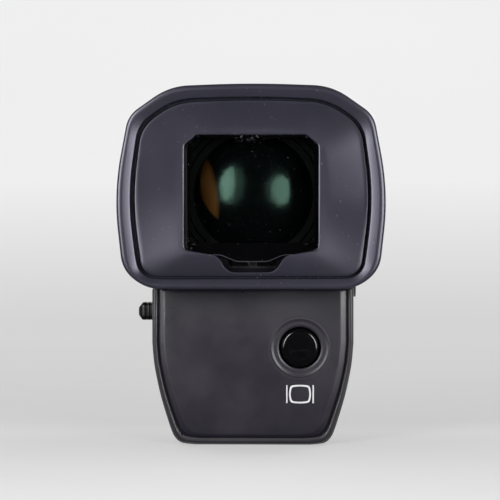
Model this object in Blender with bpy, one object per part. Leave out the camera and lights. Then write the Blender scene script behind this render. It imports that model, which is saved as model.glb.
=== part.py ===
"""Electronic viewfinder for a camera's accessory shoe, as an assembly of separate pieces.

Metres, +Z up, -Y towards the eye. The origin is the middle of the shoe foot's sole.
"""

import math

import bmesh
import bpy
from mathutils import Matrix, Vector

# Clearances that every piece shares
SEAT_GAP = 0.00025
RUN_GAP = 0.0003
BORE_GAP = 0.0002
OVERRUN = 0.0008

# Overall places
LIP_Y = -0.0295
HINGE_PIN_REACH = 0.0073
HINGE_RISE = 0.0016

# Shoe foot, to the standard for accessory shoes
FOOT_WIDTH = 0.0185
FOOT_LENGTH = 0.0180
FOOT_THICK = 0.0019
FOOT_CORNER = 0.0012
NECK_WIDTH = 0.0123
NECK_SETBACK = 0.0008
NECK_HEIGHT = 0.0018
SCREW_HEAD_RADIUS = 0.0011
SCREW_HEAD_DEPTH = 0.0008
SCREW_SHANK_RADIUS = 0.0006
SCREW_RECESS = 0.00015
SCREW_LENGTH = 0.0054
SCREW_SPACING_X = 0.0086
SCREW_SPACING_Y = 0.0090
SCREW_BOSS_RADIUS = 0.0014
SCREW_BOSS_CAP = 0.0004

# Base: a tray over the shoe and a block that hangs behind the camera
WALL = 0.0012
FLOOR_THICK = 0.0008
TRAY_INSIDE_HEIGHT = 0.0024
COVER_THICK = 0.0010
BLOCK_HALF_WIDTH = 0.01351
BLOCK_TAPER_TOP_Z = 0.0014
BLOCK_BOTTOM_Z = -0.01225
BLOCK_REAR_Y = -0.0215
BLOCK_DEPTH = 0.0103
# Half-width and drop of the tapered side, as shares of the block's own
BLOCK_SIDE_SHARES = (
    (0.983, 0.190),
    (0.953, 0.357),
    (0.911, 0.537),
    (0.857, 0.716),
    (0.804, 0.871),
    (0.766, 0.938),
    (0.719, 0.977),
    (0.658, 0.991),
    (0.562, 1.000),
)
PANEL_RIM = 0.00057
PANEL_GROOVE = 0.00025
PANEL_BOTTOM_RIM = 0.00082
PANEL_THICK = 0.0014
PANEL_BEVEL = 0.0007
PANEL_BEVEL_DEPTH = 0.00035
HINGE_RADIUS = 0.0034
HINGE_OVERHANG = 0.00069
KNUCKLE_LENGTH = 0.0057
HINGE_WALL = 0.0013
PIN_RADIUS = 0.0010
PIN_SETBACK = 0.0002
PIN_EDGE = 0.0002
WASHER_THICK = 0.00035
WASHER_RADIUS = 0.0026
HEAD_ARM_BACK = 0.0015
HEAD_ARM_FRONT = 0.0025
BASE_ARM_SETBACK = 0.0003
BAR_SETBACK = 0.0019
BAR_LENGTH = 0.0031
RIBBON_KNUCKLE_GAP = 0.0008
RIBBON_HEAD_GAP = 0.0007
RIBBON_WIDTH = 0.0050
RIBBON_THICK = 0.00016
RIBBON_SLOT_HEIGHT = 0.0009
RIBBON_SLOT_SIDE_GAP = 0.0005
RIBBON_SLOT_DROP = 0.0035
# The flex cable's places forward of the main board's face and above its slot in the bar
RIBBON_BOARD_ROUTE = (
    (0.0010, -0.0023),
    (0.0010, -0.0010),
    (0.0018, -0.0001),
    (0.0041, 0.00005),
    (0.0082, 0.00005),
)
# Its places forward of the hinge axis and above it, round the pin to the display board
RIBBON_HINGE_ROUTE = (
    (-0.0083, -0.00345),
    (-0.0043, -0.0035),
    (-0.0023, -0.0035),
    (-0.0005, -0.0031),
    (0.0014, -0.0020),
    (0.0023, -0.0001),
    (0.0018, 0.0017),
    (0.0005, 0.0031),
    (-0.0002, 0.0045),
    (-0.0004, 0.0059),
    (-0.0010, 0.0069),
    (-0.0023, 0.0073),
)
RIBBON_STEPS = 3

# Electronics in the base
BOARD_THICK = 0.0008
BOARD_REAR_Y = -0.0159
BOARD_EDGE_GAP = 0.0012
BOARD_TOP_Z = 0.0044
CHIP_SIZE = 0.0070
CHIP_THICK = 0.0009
CHIP_Z = -0.0020
CONNECTOR_WIDTH = 0.0080
CONNECTOR_HEIGHT = 0.0022
CONNECTOR_THICK = 0.0010
CONNECTOR_DROP = 0.0002

# Monitor button and its switch
BUTTON_INSET = 0.00716
BUTTON_Z = 0.00075
BUTTON_RADIUS = 0.0025
BUTTON_EDGE = 0.00045
BUTTON_PROUD = 0.0004
BUTTON_HOLE_GAP = 0.00025
BUTTON_FLANGE_RADIUS = 0.0032
BUTTON_FLANGE_THICK = 0.0006
BUTTON_STEM_RADIUS = 0.0011
BUTTON_TRAVEL = 0.0005
BUTTON_DISH_RADIUS = 0.00383
BUTTON_DISH_DEPTH = 0.00015
SWITCH_SIZE = 0.0042
SWITCH_BODY_THICK = 0.0016
SWITCH_PLUNGER_RADIUS = 0.0009
SWITCH_PLUNGER_LENGTH = 0.0013
SWITCH_STOP_GAP = 0.0001
SWITCH_BORE_DEPTH = 0.0014

# Accessory plug under the shoe
PLUG_WIDTH = 0.0106
PLUG_HEIGHT = 0.0044
PLUG_Z = -0.0063
PLUG_LENGTH = 0.0052
PLUG_WALL = 0.0005
PLUG_CORNER = 0.0010
PLUG_COLLAR = 0.0008
PLUG_COLLAR_THICK = 0.0008
TONGUE_WIDTH = 0.0080
TONGUE_THICK = 0.0013
TONGUE_SETBACK = 0.0007
TONGUE_ROOT_THICK = 0.0010

# Shoe lock
LOCK_KNOB_Z = 0.00550
LOCK_KNOB_Y = -0.0164
LOCK_KNOB_HEIGHT = 0.0023
LOCK_KNOB_LENGTH = 0.0034
LOCK_KNOB_PROUD = 0.00215
LOCK_KNOB_EDGE = 0.0006
LOCK_TRAVEL = 0.0016
LOCK_BAR_WIDTH = 0.0040
LOCK_BAR_THICK = 0.0010
LOCK_ARM_LENGTH = 0.0022
LOCK_SLOPE = 0.5
LOCK_PIN_SETBACK = 0.0030
LOCK_PIN_RADIUS = 0.0010
LOCK_PIN_REACH = 0.0007
LOCK_HEAD_WIDTH = 0.0044
LOCK_HEAD_LENGTH = 0.0020
LOCK_HEAD_THICK = 0.0003
PRONG_LEAD = 0.0004
PRONG_TIP_THICK = 0.0001
RAMP_GAP = 0.0002
SPRING_THICK = 0.00015
SPRING_LENGTH = 0.0076
SPRING_TIP = 0.0008
SPRING_WIDTH = 0.0024

# Head shell
HEAD_REAR_Y = -0.0226
HEAD_FRONT_REACH = 0.0050
HEAD_REAR_HALF_WIDTH = 0.0152
HEAD_SIDE_TAPER = 0.0010
HEAD_HEIGHT = 0.0254
OPTICAL_RISE = 0.0001
HEAD_TOP_TAPER = 0.0010
HEAD_LIFT = 0.0003
HEAD_WALL = 0.0013
HEAD_SHOULDER_DROP = 0.0048
HEAD_SHOULDER_IN = 0.0044
HEAD_BOTTOM_FILLET = 0.0016
HEAD_TOP_FILLET = 0.0026
HEAD_SHOULDER_FILLET = 0.0028
HEAD_TOP_BOW = 0.0003
HEAD_SIDE_BOW = 0.0002
HEAD_FRONT_ROUND = 0.0024
SEAM_RISE = 0.0007

# Eyepiece frame, its glass and the eye sensor
FRAME_PLATE_THICK = 0.0014
FRAME_BOSS_HEIGHT = 0.0015
# The boss in the eyecup: shares of the cup's inner outline across, upward and downward
FRAME_BOSS_SHARES = (0.860, 0.860, 1.015)
GLASS_SIDE_LAP = 0.00103
GLASS_BOTTOM_LAP = 0.0004
GLASS_TOP_LAP = 0.0011
GLASS_CORNER = 0.0015
GLASS_THICK = 0.0009
FRAME_LEDGE_SIDE = 0.0010
FRAME_LEDGE_TOP = 0.0009
FRAME_SILL = 0.0006
FRAME_OPENING_CORNER = 0.0018
SENSOR_WELL_WIDTH = 0.0064
SENSOR_WELL_HEIGHT = 0.0021
SENSOR_RISE = 0.0011
SENSOR_SPACING = 0.0032
SENSOR_WIDTH = 0.0022
SENSOR_HEIGHT = 0.0015
SENSOR_DEPTH = 0.0012
SENSOR_BOARD_THICK = 0.0004
SENSOR_BOARD_EDGE = 0.0006

# Eyecup
CUP_SIDE_OVERHANG = 0.0014
CUP_TOP_OVERHANG = 0.0013
CUP_BOTTOM_SETBACK = 0.00001
# Corners from the top middle round to the bottom middle, as shares of the half-width and the top
CUP_CORNER_SHARES = ((0.645, 1.000), (0.973, 0.707), (1.018, -0.850), (0.775, -1.038))
CUP_LIP_SIDE = 0.0022
CUP_LIP_TOP = 0.0019
CUP_INNER_CORNER_SHARES = ((0.729, 1.000), (1.021, 0.732), (1.000, -0.920), (0.882, -1.071))
CUP_TOP_BOW = 0.0003
CUP_SIDE_BOW = 0.00113
CUP_INNER_SIDE_BOW = 0.0009
# Fillets from the bottom corner round to the top one
CUP_FILLETS = (0.0040, 0.0042, 0.0016, 0.0026)
CUP_INNER_FILLETS = (0.00115, 0.00115, 0.0021, 0.0028)
LIP_ROUND = 0.0009
LIP_BACK = 0.0021
LIP_INNER_DROP = 0.0007
GROOVE_DROP = 0.0024
GROOVE_WIDTH = 0.0005
FACE_DROP = 0.0020
FACE_FLAT_WIDTH = 0.0020
CUP_WEB_THICK = 0.00255
# The flare's outlines as shares of the lip's: place along the flare, across, upward, downward
CUP_FLARE_SHARES = (
    (0.00, 0.900, 0.905, 0.985),
    (0.30, 0.915, 0.920, 0.985),
    (0.65, 0.955, 0.960, 0.992),
    (1.00, 1.000, 1.000, 1.000),
)
# The flat rim round the window, as shares of the inner outline across, upward and downward
FACE_RIM_SHARES = (0.655, 0.665, 0.740)
WINDOW_SIDE = 0.00553
WINDOW_SILL = 0.00359
WINDOW_HEAD = 0.0044
WINDOW_CHAMFER_X = 0.0016
WINDOW_CHAMFER_Z = 0.0014
WINDOW_BOTTOM_SLANT = 0.0007
NOTCH_TOP_WIDTH = 0.0086
NOTCH_BOTTOM_WIDTH = 0.0053
NOTCH_DROP = 0.0025

# Optics
BARREL_REAR_Y = -0.0202
BARREL_SETBACK = 0.0093
BARREL_HEAD_GAP = 0.0007
BARREL_CAM_GAP = 0.0009
BARREL_WALL = 0.0007
BARREL_SHOULDER = 0.0012
BARREL_CONE = 0.0016
BARREL_NOSE_STEP = 0.0016
BARREL_NOSE_WALL = 0.0012
FIELD_LEDGE = 0.0010
FIELD_LEDGE_THICK = 0.0010
CARRIER_GAP = 0.00015
CARRIER_REAR_Y = -0.0193
CARRIER_WALL = 0.0007
CARRIER_LEDGE = 0.0010
CARRIER_LEDGE_THICK = 0.0009
RING_THICK = 0.0008
RING_WIDTH = 0.0009
EYE_LENS_EDGE = 0.0020
EYE_LENS_BULGE = 0.0007
EYE_LENS_FLANGE = 0.00105
EYE_LENS_REAR_BULGE = 0.00275
MID_LENS_EDGE = 0.0016
MID_LENS_BULGE = 0.0008
SPACER_LENGTH = 0.0040
FIELD_LENS_EDGE = 0.0014
FIELD_LENS_BULGE = 0.0007

# Dioptre drive: a dial whose spiral groove moves the lens carrier
DIAL_Y = -0.0131
DIAL_SEAM_WALL = 0.0007
DIAL_PROUD = 0.0010
DIAL_SHAFT_RADIUS = 0.0014
DIAL_RECESS = 0.0005
DIAL_TEETH = 30
DIAL_TOOTH_DEPTH = 0.00018
CAM_RADIUS = 0.0052
CAM_DIAL_WALL = 0.0014
CAM_THICK = 0.0016
CAM_BORE_DEPTH = 0.0005
CAM_GROOVE_DEPTH = 0.0007
CAM_GROOVE_RADIUS = 0.0028
CAM_LEAD = 0.0006
DIAL_MIN_DEG = -70
DIAL_MAX_DEG = 140
FOLLOWER_RADIUS = 0.00045
FOLLOWER_REACH = 0.00045
FOLLOWER_ROOT = 0.0005

# Display
DISPLAY_THICK = 0.0012
DISPLAY_FRAME_EAR = 0.0008
DISPLAY_FRAME_TRIM = 0.0012
DISPLAY_FRAME_SIDE = 0.00425
DISPLAY_FRAME_BAND = 0.0035
DISPLAY_LIP = 0.0006
DISPLAY_LIP_THICK = 0.0007
BACKLIGHT_THICK = 0.0014
BACKLIGHT_EDGE = 0.0008
DISPLAY_BOARD_INSET = 0.0005
DISPLAY_BOARD_THICK = 0.0008

# Mesh fineness
ROUND_STEPS = 32
SMALL_ROUND_STEPS = 20
ARC_STEPS = 4
FILLET_SIDE_SHARE = 0.49
BOW_CORNER_SHARE = 1.34

# Colours: red, green, blue, roughness, metallic
COLOURS = {
    "moulded_grey": ((0.040, 0.038, 0.046), 0.45, 0.0),
    "panel_grey": ((0.045, 0.042, 0.048), 0.5, 0.0),
    "cup_rubber": ((0.052, 0.050, 0.066), 0.6, 0.0),
    "black_gloss": ((0.006, 0.006, 0.007), 0.12, 0.0),
    "black_plastic": ((0.012, 0.012, 0.013), 0.5, 0.0),
    "steel": ((0.55, 0.55, 0.56), 0.3, 1.0),
    "brass": ((0.60, 0.44, 0.18), 0.35, 1.0),
    "aluminium": ((0.30, 0.30, 0.31), 0.35, 1.0),
    "glass": ((0.02, 0.03, 0.03), 0.04, 0.0),
    "board_green": ((0.02, 0.12, 0.05), 0.5, 0.0),
    "polyimide": ((0.35, 0.16, 0.03), 0.4, 0.0),
    "white_plastic": ((0.75, 0.75, 0.73), 0.4, 0.0),
    "display": ((0.02, 0.02, 0.03), 0.1, 0.0),
}

# Places worked out from the sizes above
LOCK_PIN_Y = FOOT_LENGTH / 2 - LOCK_PIN_SETBACK
HINGE_Y = LOCK_PIN_Y + HINGE_PIN_REACH
NECK_LENGTH = FOOT_LENGTH - NECK_SETBACK * 2
NECK_TOP_Z = FOOT_THICK + NECK_HEIGHT
FLOOR_Z = NECK_TOP_Z + SEAT_GAP
FLOOR_TOP_Z = FLOOR_Z + FLOOR_THICK
TRAY_TOP_Z = FLOOR_TOP_Z + TRAY_INSIDE_HEIGHT
COVER_Z = TRAY_TOP_Z + SEAT_GAP
COVER_TOP_Z = COVER_Z + COVER_THICK
HEAD_BOTTOM_Z = COVER_TOP_Z + HEAD_LIFT
HEAD_TOP_Z = HEAD_BOTTOM_Z + HEAD_HEIGHT
HEAD_FRONT_TOP_Z = HEAD_TOP_Z - HEAD_TOP_TAPER
HEAD_FRONT_HALF_WIDTH = HEAD_REAR_HALF_WIDTH - HEAD_SIDE_TAPER
HEAD_FRONT_Y = HINGE_Y + HEAD_FRONT_REACH
HINGE_Z = HEAD_BOTTOM_Z + HINGE_RISE
OPTICAL_AXIS_Z = HEAD_BOTTOM_Z + HEAD_HEIGHT / 2 + OPTICAL_RISE
BLOCK_FRONT_Y = BLOCK_REAR_Y + BLOCK_DEPTH
BLOCK_INSIDE_FRONT_Y = BLOCK_FRONT_Y - WALL
PANEL_INNER_Y = BLOCK_REAR_Y + PANEL_THICK
LEDGE_Y = PANEL_INNER_Y + SEAT_GAP
BAR_FRONT_Y = HINGE_Y - BAR_SETBACK
BAR_REAR_Y = BAR_FRONT_Y - BAR_LENGTH
HINGE_CUT_RADIUS = HINGE_RADIUS + RUN_GAP
HINGE_OUTER_X = BLOCK_HALF_WIDTH + HINGE_OVERHANG
HINGE_INNER_X = HINGE_OUTER_X - KNUCKLE_LENGTH
RIBBON_X = HINGE_INNER_X - RIBBON_KNUCKLE_GAP - RIBBON_WIDTH / 2
HEAD_KNUCKLE_END_X = RIBBON_X - RIBBON_WIDTH / 2 - RIBBON_HEAD_GAP
RIBBON_SLOT_Z = HINGE_Z - RIBBON_SLOT_DROP
HEAD_SEAM_Z = HINGE_Z + HINGE_CUT_RADIUS + HINGE_WALL + SEAM_RISE
BUTTON_X = BLOCK_HALF_WIDTH - BUTTON_INSET
SWITCH_PLUNGER_OUT = BUTTON_TRAVEL + SWITCH_STOP_GAP
LOCK_KNOB_REACH = BLOCK_HALF_WIDTH + LOCK_KNOB_PROUD
BOARD_FRONT_Y = BOARD_REAR_Y + BOARD_THICK
SLIDER_Z = FLOOR_TOP_Z + SEAT_GAP
SLIDER_TOP_Z = SLIDER_Z + LOCK_BAR_THICK
RAMP_TIP_Y = LOCK_PIN_Y + PRONG_LEAD
RAMP_TIP_Z = SLIDER_Z + PRONG_TIP_THICK
PLATE_FRONT_Y = HEAD_REAR_Y + FRAME_PLATE_THICK
SHELL_REAR_Y = PLATE_FRONT_Y + SEAT_GAP
BOSS_REAR_Y = HEAD_REAR_Y - FRAME_BOSS_HEIGHT
CUP_HALF_WIDTH = HEAD_REAR_HALF_WIDTH + CUP_SIDE_OVERHANG
CUP_HEIGHT = HEAD_HEIGHT + CUP_TOP_OVERHANG - CUP_BOTTOM_SETBACK
CUP_TOP = CUP_HEIGHT / (CUP_CORNER_SHARES[0][1] - CUP_CORNER_SHARES[-1][1])
CUP_Z = HEAD_TOP_Z + CUP_TOP_OVERHANG - CUP_TOP
CUP_INNER_HALF_WIDTH = CUP_HALF_WIDTH - CUP_LIP_SIDE
CUP_INNER_TOP = CUP_TOP - CUP_LIP_TOP
WINDOW_HALF_WIDTH = CUP_INNER_HALF_WIDTH - WINDOW_SIDE
WINDOW_TOP_Z = CUP_Z + CUP_INNER_TOP - WINDOW_HEAD
WINDOW_BOTTOM_Z = CUP_Z + CUP_INNER_TOP * CUP_INNER_CORNER_SHARES[-1][1] + WINDOW_SILL
NOTCH_BOTTOM_Z = WINDOW_BOTTOM_Z - NOTCH_DROP
SENSOR_Z = NOTCH_BOTTOM_Z + SENSOR_RISE
GLASS_HALF_WIDTH = WINDOW_HALF_WIDTH + GLASS_SIDE_LAP
GLASS_BOTTOM_Z = NOTCH_BOTTOM_Z - GLASS_BOTTOM_LAP
GLASS_TOP_Z = WINDOW_TOP_Z + GLASS_TOP_LAP
FRAME_OPENING_HALF_WIDTH = GLASS_HALF_WIDTH - FRAME_LEDGE_SIDE
FRAME_OPENING_BOTTOM_Z = WINDOW_BOTTOM_Z + FRAME_SILL
FRAME_OPENING_TOP_Z = GLASS_TOP_Z - FRAME_LEDGE_TOP
GLASS_REAR_Y = BOSS_REAR_Y
GLASS_SEAT_Y = GLASS_REAR_Y + GLASS_THICK + SEAT_GAP
DIAL_SEAT_X = HEAD_REAR_HALF_WIDTH - DIAL_RECESS
DIAL_RADIUS = OPTICAL_AXIS_Z - HEAD_SEAM_Z - RUN_GAP - DIAL_SEAM_WALL
CAM_INNER_X = DIAL_SEAT_X - CAM_DIAL_WALL - CAM_THICK
BARREL_LOW_REACH = OPTICAL_AXIS_Z - HEAD_BOTTOM_Z - HEAD_WALL - BARREL_HEAD_GAP
BARREL_FRONT_Y = HINGE_Y - BARREL_SETBACK
BARREL_RADIUS = min(BARREL_LOW_REACH, CAM_INNER_X - BARREL_CAM_GAP)
BARREL_BORE_RADIUS = BARREL_RADIUS - BARREL_WALL
BARREL_NOSE_RADIUS = BARREL_RADIUS - BARREL_NOSE_STEP
BARREL_NOSE_BORE_RADIUS = BARREL_NOSE_RADIUS - BARREL_NOSE_WALL
FIELD_LEDGE_RADIUS = BARREL_NOSE_BORE_RADIUS - FIELD_LEDGE
CARRIER_RADIUS = BARREL_BORE_RADIUS - CARRIER_GAP
CARRIER_BORE_RADIUS = CARRIER_RADIUS - CARRIER_WALL
CARRIER_LENS_RADIUS = CARRIER_BORE_RADIUS - BORE_GAP
EYE_LENS_Y = CARRIER_REAR_Y + RING_THICK + SEAT_GAP
SPACER_Y = EYE_LENS_Y + EYE_LENS_EDGE + SEAT_GAP
MID_LENS_Y = SPACER_Y + SPACER_LENGTH + SEAT_GAP
CARRIER_LEDGE_Y = MID_LENS_Y + MID_LENS_EDGE + SEAT_GAP
CARRIER_FRONT_Y = CARRIER_LEDGE_Y + CARRIER_LEDGE_THICK
FOCUS_MAX = CAM_LEAD * math.radians(DIAL_MAX_DEG)
FOCUS_MIN = CAM_LEAD * math.radians(DIAL_MIN_DEG)
BARREL_STEP_Y = CARRIER_FRONT_Y + FOCUS_MAX + RUN_GAP
FIELD_LEDGE_FRONT_Y = BARREL_STEP_Y + FIELD_LEDGE_THICK
FIELD_LENS_Y = FIELD_LEDGE_FRONT_Y + SEAT_GAP
FIELD_RING_Y = FIELD_LENS_Y + FIELD_LENS_EDGE + SEAT_GAP
FIELD_LENS_RADIUS = BARREL_NOSE_BORE_RADIUS - BORE_GAP
FOLLOWER_Y = DIAL_Y + CAM_GROOVE_RADIUS
FOLLOWER_START_X = CARRIER_RADIUS - FOLLOWER_ROOT
FOLLOWER_END_X = CAM_INNER_X + FOLLOWER_REACH
FOLLOWER_HOLE_RADIUS = FOLLOWER_RADIUS + BORE_GAP
DIAL_INNER_X = DIAL_SEAT_X + SEAT_GAP
CAM_OUTER_X = CAM_INNER_X + CAM_THICK
DISPLAY_FRAME_Y = BARREL_FRONT_Y + SEAT_GAP
DISPLAY_Y = DISPLAY_FRAME_Y + DISPLAY_LIP_THICK + SEAT_GAP
DISPLAY_FRAME_THICK = DISPLAY_LIP_THICK + DISPLAY_THICK + SEAT_GAP + SEAT_GAP
BACKLIGHT_Y = DISPLAY_FRAME_Y + DISPLAY_FRAME_THICK + SEAT_GAP
DISPLAY_BOARD_Y = BACKLIGHT_Y + BACKLIGHT_THICK + SEAT_GAP
DISPLAY_CONNECTOR_Y = DISPLAY_BOARD_Y + DISPLAY_BOARD_THICK + SEAT_GAP
DISPLAY_CONNECTOR_Z = HINGE_Z + RIBBON_HINGE_ROUTE[-1][1]
DISPLAY_FRAME_WIDTH = (BARREL_NOSE_RADIUS + DISPLAY_FRAME_EAR) * 2
DISPLAY_FRAME_HEIGHT = (BARREL_NOSE_RADIUS - DISPLAY_FRAME_TRIM) * 2
DISPLAY_WIDTH = DISPLAY_FRAME_WIDTH - DISPLAY_FRAME_SIDE * 2
DISPLAY_HEIGHT = DISPLAY_FRAME_HEIGHT - DISPLAY_FRAME_BAND * 2
DISPLAY_BOARD_WIDTH = DISPLAY_FRAME_WIDTH - DISPLAY_BOARD_INSET * 2
DISPLAY_BOARD_HEIGHT = DISPLAY_FRAME_HEIGHT - DISPLAY_BOARD_INSET * 2

AXES = {
    "X": (Vector((1, 0, 0)), Vector((0, 1, 0)), Vector((0, 0, 1))),
    "Y": (Vector((0, 1, 0)), Vector((1, 0, 0)), Vector((0, 0, 1))),
    "Z": (Vector((0, 0, 1)), Vector((1, 0, 0)), Vector((0, 1, 0))),
}


def clear_scene():
    for obj in list(bpy.data.objects):
        bpy.data.objects.remove(obj, do_unlink=True)


def finish_look(name, colour):
    """A material of the piece's own, with the colour, roughness and metallic value of its kind."""
    rgb, roughness, metallic = COLOURS[colour]
    material = bpy.data.materials.new(f"{name}_{colour}")
    material.use_nodes = True
    shader = material.node_tree.nodes["Principled BSDF"]
    shader.inputs["Base Color"].default_value = (*rgb, 1)
    shader.inputs["Roughness"].default_value = roughness
    shader.inputs["Metallic"].default_value = metallic
    material.diffuse_color = (*rgb, 1)
    return material


def object_of(name, mesh_work, colour=None):
    """Turns bmesh work into an object: a piece with a colour, or a hidden cutter without one."""
    bmesh.ops.recalc_face_normals(mesh_work, faces=mesh_work.faces)
    mesh = bpy.data.meshes.new(name)
    mesh_work.to_mesh(mesh)
    mesh_work.free()
    mesh.shade_smooth()
    mesh.set_sharp_from_angle(angle=math.radians(35))
    obj = bpy.data.objects.new(name, mesh)
    bpy.context.scene.collection.objects.link(obj)
    if colour is None:
        obj.hide_render = True
        obj.display_type = "WIRE"
    else:
        mesh.materials.append(finish_look(name, colour))
    return obj


def combine(target, other, operation):
    modifier = target.modifiers.new(f"{operation.lower()}_{other.name}", "BOOLEAN")
    modifier.operation = operation
    modifier.solver = "EXACT"
    modifier.object = other
    return target


def cut(target, *cutters):
    for cutter in cutters:
        combine(target, cutter, "DIFFERENCE")
    return target


def join(target, *others):
    for other in others:
        combine(target, other, "UNION")
    return target


def loft(name, loops, colour=None):
    """A solid through loops that have as many points each, closed flat at both ends."""
    work = bmesh.new()
    rings = [[work.verts.new(point) for point in loop] for loop in loops]
    for first, second in zip(rings, rings[1:]):
        for index, corner in enumerate(first):
            after = (index + 1) % len(first)
            work.faces.new((corner, first[after], second[after], second[index]))
    work.faces.new(rings[0])
    work.faces.new(rings[-1])
    return object_of(name, work, colour)


def prism(name, outline, axis, start, end, colour=None):
    """An outline drawn in the plane across the axis, pulled from start to end along it."""
    along, across, up = AXES[axis]
    loops = [[along * place + across * a + up * b for a, b in outline] for place in (start, end)]
    return loft(name, loops, colour)


def box(name, across_x, across_y, across_z, colour=None):
    """A box given by its two ends along X, Y and Z."""
    outline = [(across_x[a], across_y[b]) for a, b in ((0, 0), (1, 0), (1, 1), (0, 1))]
    return prism(name, outline, "Z", *across_z, colour)


def turned(name, profile, axis, centre, colour=None, steps=ROUND_STEPS):
    """A turned piece. Each profile point is a radius and a place along the axis."""
    along, across, up = AXES[axis]
    centre = Vector(centre)
    work = bmesh.new()
    rings = []
    for radius, place in profile:
        middle = centre + along * place
        if radius == 0:
            rings.append([work.verts.new(middle)])
            continue
        turns = [2 * math.pi * step / steps for step in range(steps)]
        ring = [middle + (across * math.cos(t) + up * math.sin(t)) * radius for t in turns]
        rings.append([work.verts.new(point) for point in ring])
    pairs = list(zip(rings, rings[1:]))
    if all(radius > 0 for radius, _ in profile):
        pairs.append((rings[-1], rings[0]))
    for first, second in pairs:
        for step in range(steps):
            after = step + 1
            corners = [
                first[step % len(first)],
                first[after % len(first)],
                second[after % len(second)],
                second[step % len(second)],
            ]
            work.faces.new(dict.fromkeys(corners))
    return object_of(name, work, colour)


def rod(name, radius, axis, centre, start, end, colour=None, steps=SMALL_ROUND_STEPS):
    profile = [(0, start), (radius, start), (radius, end), (0, end)]
    return turned(name, profile, axis, centre, colour, steps)


def bowed(corners, fillets, bows):
    """Adds a wide corner in the middle of each side that swells outward, for a smooth bow.

    Corners run anticlockwise. A bow belongs to the side after its corner.
    """
    corners = [Vector(corner) for corner in corners]
    places, rounds = [], []
    for index, corner in enumerate(corners):
        side = corners[(index + 1) % len(corners)] - corner
        places.append(corner)
        rounds.append(fillets[index])
        if bows[index] > 0:
            outward = Vector((side.y, -side.x)).normalized()
            places.append(corner + side / 2 + outward * bows[index] * BOW_CORNER_SHARE)
            rounds.append(side.length)
    return places, rounds


def rounded(corners, fillets, arc_steps=ARC_STEPS):
    """An outline with a curve at each corner that starts one fillet from it."""
    corners = [Vector(corner) for corner in corners]
    lengths = [(b - a).length for a, b in zip(corners, corners[1:] + corners[:1])]
    limits = [min(pair) * FILLET_SIDE_SHARE for pair in zip(lengths[-1:] + lengths, lengths)]
    fillets = [min(pair) for pair in zip(fillets, limits)]
    outline = []
    for index, corner in enumerate(corners):
        before = corners[index - 1]
        after = corners[(index + 1) % len(corners)]
        start = corner + (before - corner).normalized() * fillets[index]
        end = corner + (after - corner).normalized() * fillets[index]
        for step in range(arc_steps + 1):
            t = step / arc_steps
            outline.append(start * (1 - t) ** 2 + corner * (2 * t * (1 - t)) + end * t**2)
    return outline


def rounded_rectangle(left, right, bottom, top, fillet, arc_steps=ARC_STEPS):
    corners = [(left, bottom), (right, bottom), (right, top), (left, top)]
    return rounded(corners, [fillet] * 4, arc_steps)


def mirrored(half):
    """A whole outline from its right half, listed from the top down."""
    return list(half) + [(-x, z) for x, z in reversed(half)]


def seat_on_axis(obj, point, parent=None):
    """Moves the object's origin to a point, without moving the piece, and hangs it on its parent."""
    obj.data.transform(Matrix.Translation(-Vector(point)))
    obj.location = point
    if parent is not None:
        obj.parent = parent
        obj.location = Vector(point) - parent.matrix_world.translation
    return obj


def axis_empty(name, point):
    empty = bpy.data.objects.new(name, None)
    empty.location = point
    bpy.context.scene.collection.objects.link(empty)
    bpy.context.view_layer.update()
    return empty


# Base


def block_outline(side_inset, bottom_inset, top_z):
    """The block's shape seen from behind, drawn in from its sides and its bottom."""
    half = BLOCK_HALF_WIDTH - side_inset
    drop = BLOCK_TAPER_TOP_Z - BLOCK_BOTTOM_Z - bottom_inset
    side = [(half, top_z), (half, BLOCK_TAPER_TOP_Z)]
    for half_share, drop_share in BLOCK_SIDE_SHARES:
        x = BLOCK_HALF_WIDTH * half_share - side_inset
        side.append((x, BLOCK_TAPER_TOP_Z - drop * drop_share))
    return mirrored(side)


def hinge_cylinder(name, radius, start, end):
    return rod(name, radius, "X", (0, HINGE_Y, HINGE_Z), start, end, steps=ROUND_STEPS)


def base_knuckle(side, end):
    """One of the two round ends that carry the hinge pin, with the arm that holds it."""
    barrel = hinge_cylinder(f"{side}_knuckle", HINGE_RADIUS, *end)
    arm_x = [max(-BLOCK_HALF_WIDTH, min(BLOCK_HALF_WIDTH, x)) for x in end]
    arm_y = (BAR_REAR_Y, HINGE_Y - BASE_ARM_SETBACK)
    arm = box(f"{side}_knuckle_arm", arm_x, arm_y, (FLOOR_Z, COVER_TOP_Z))
    return join(barrel, arm)


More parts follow.
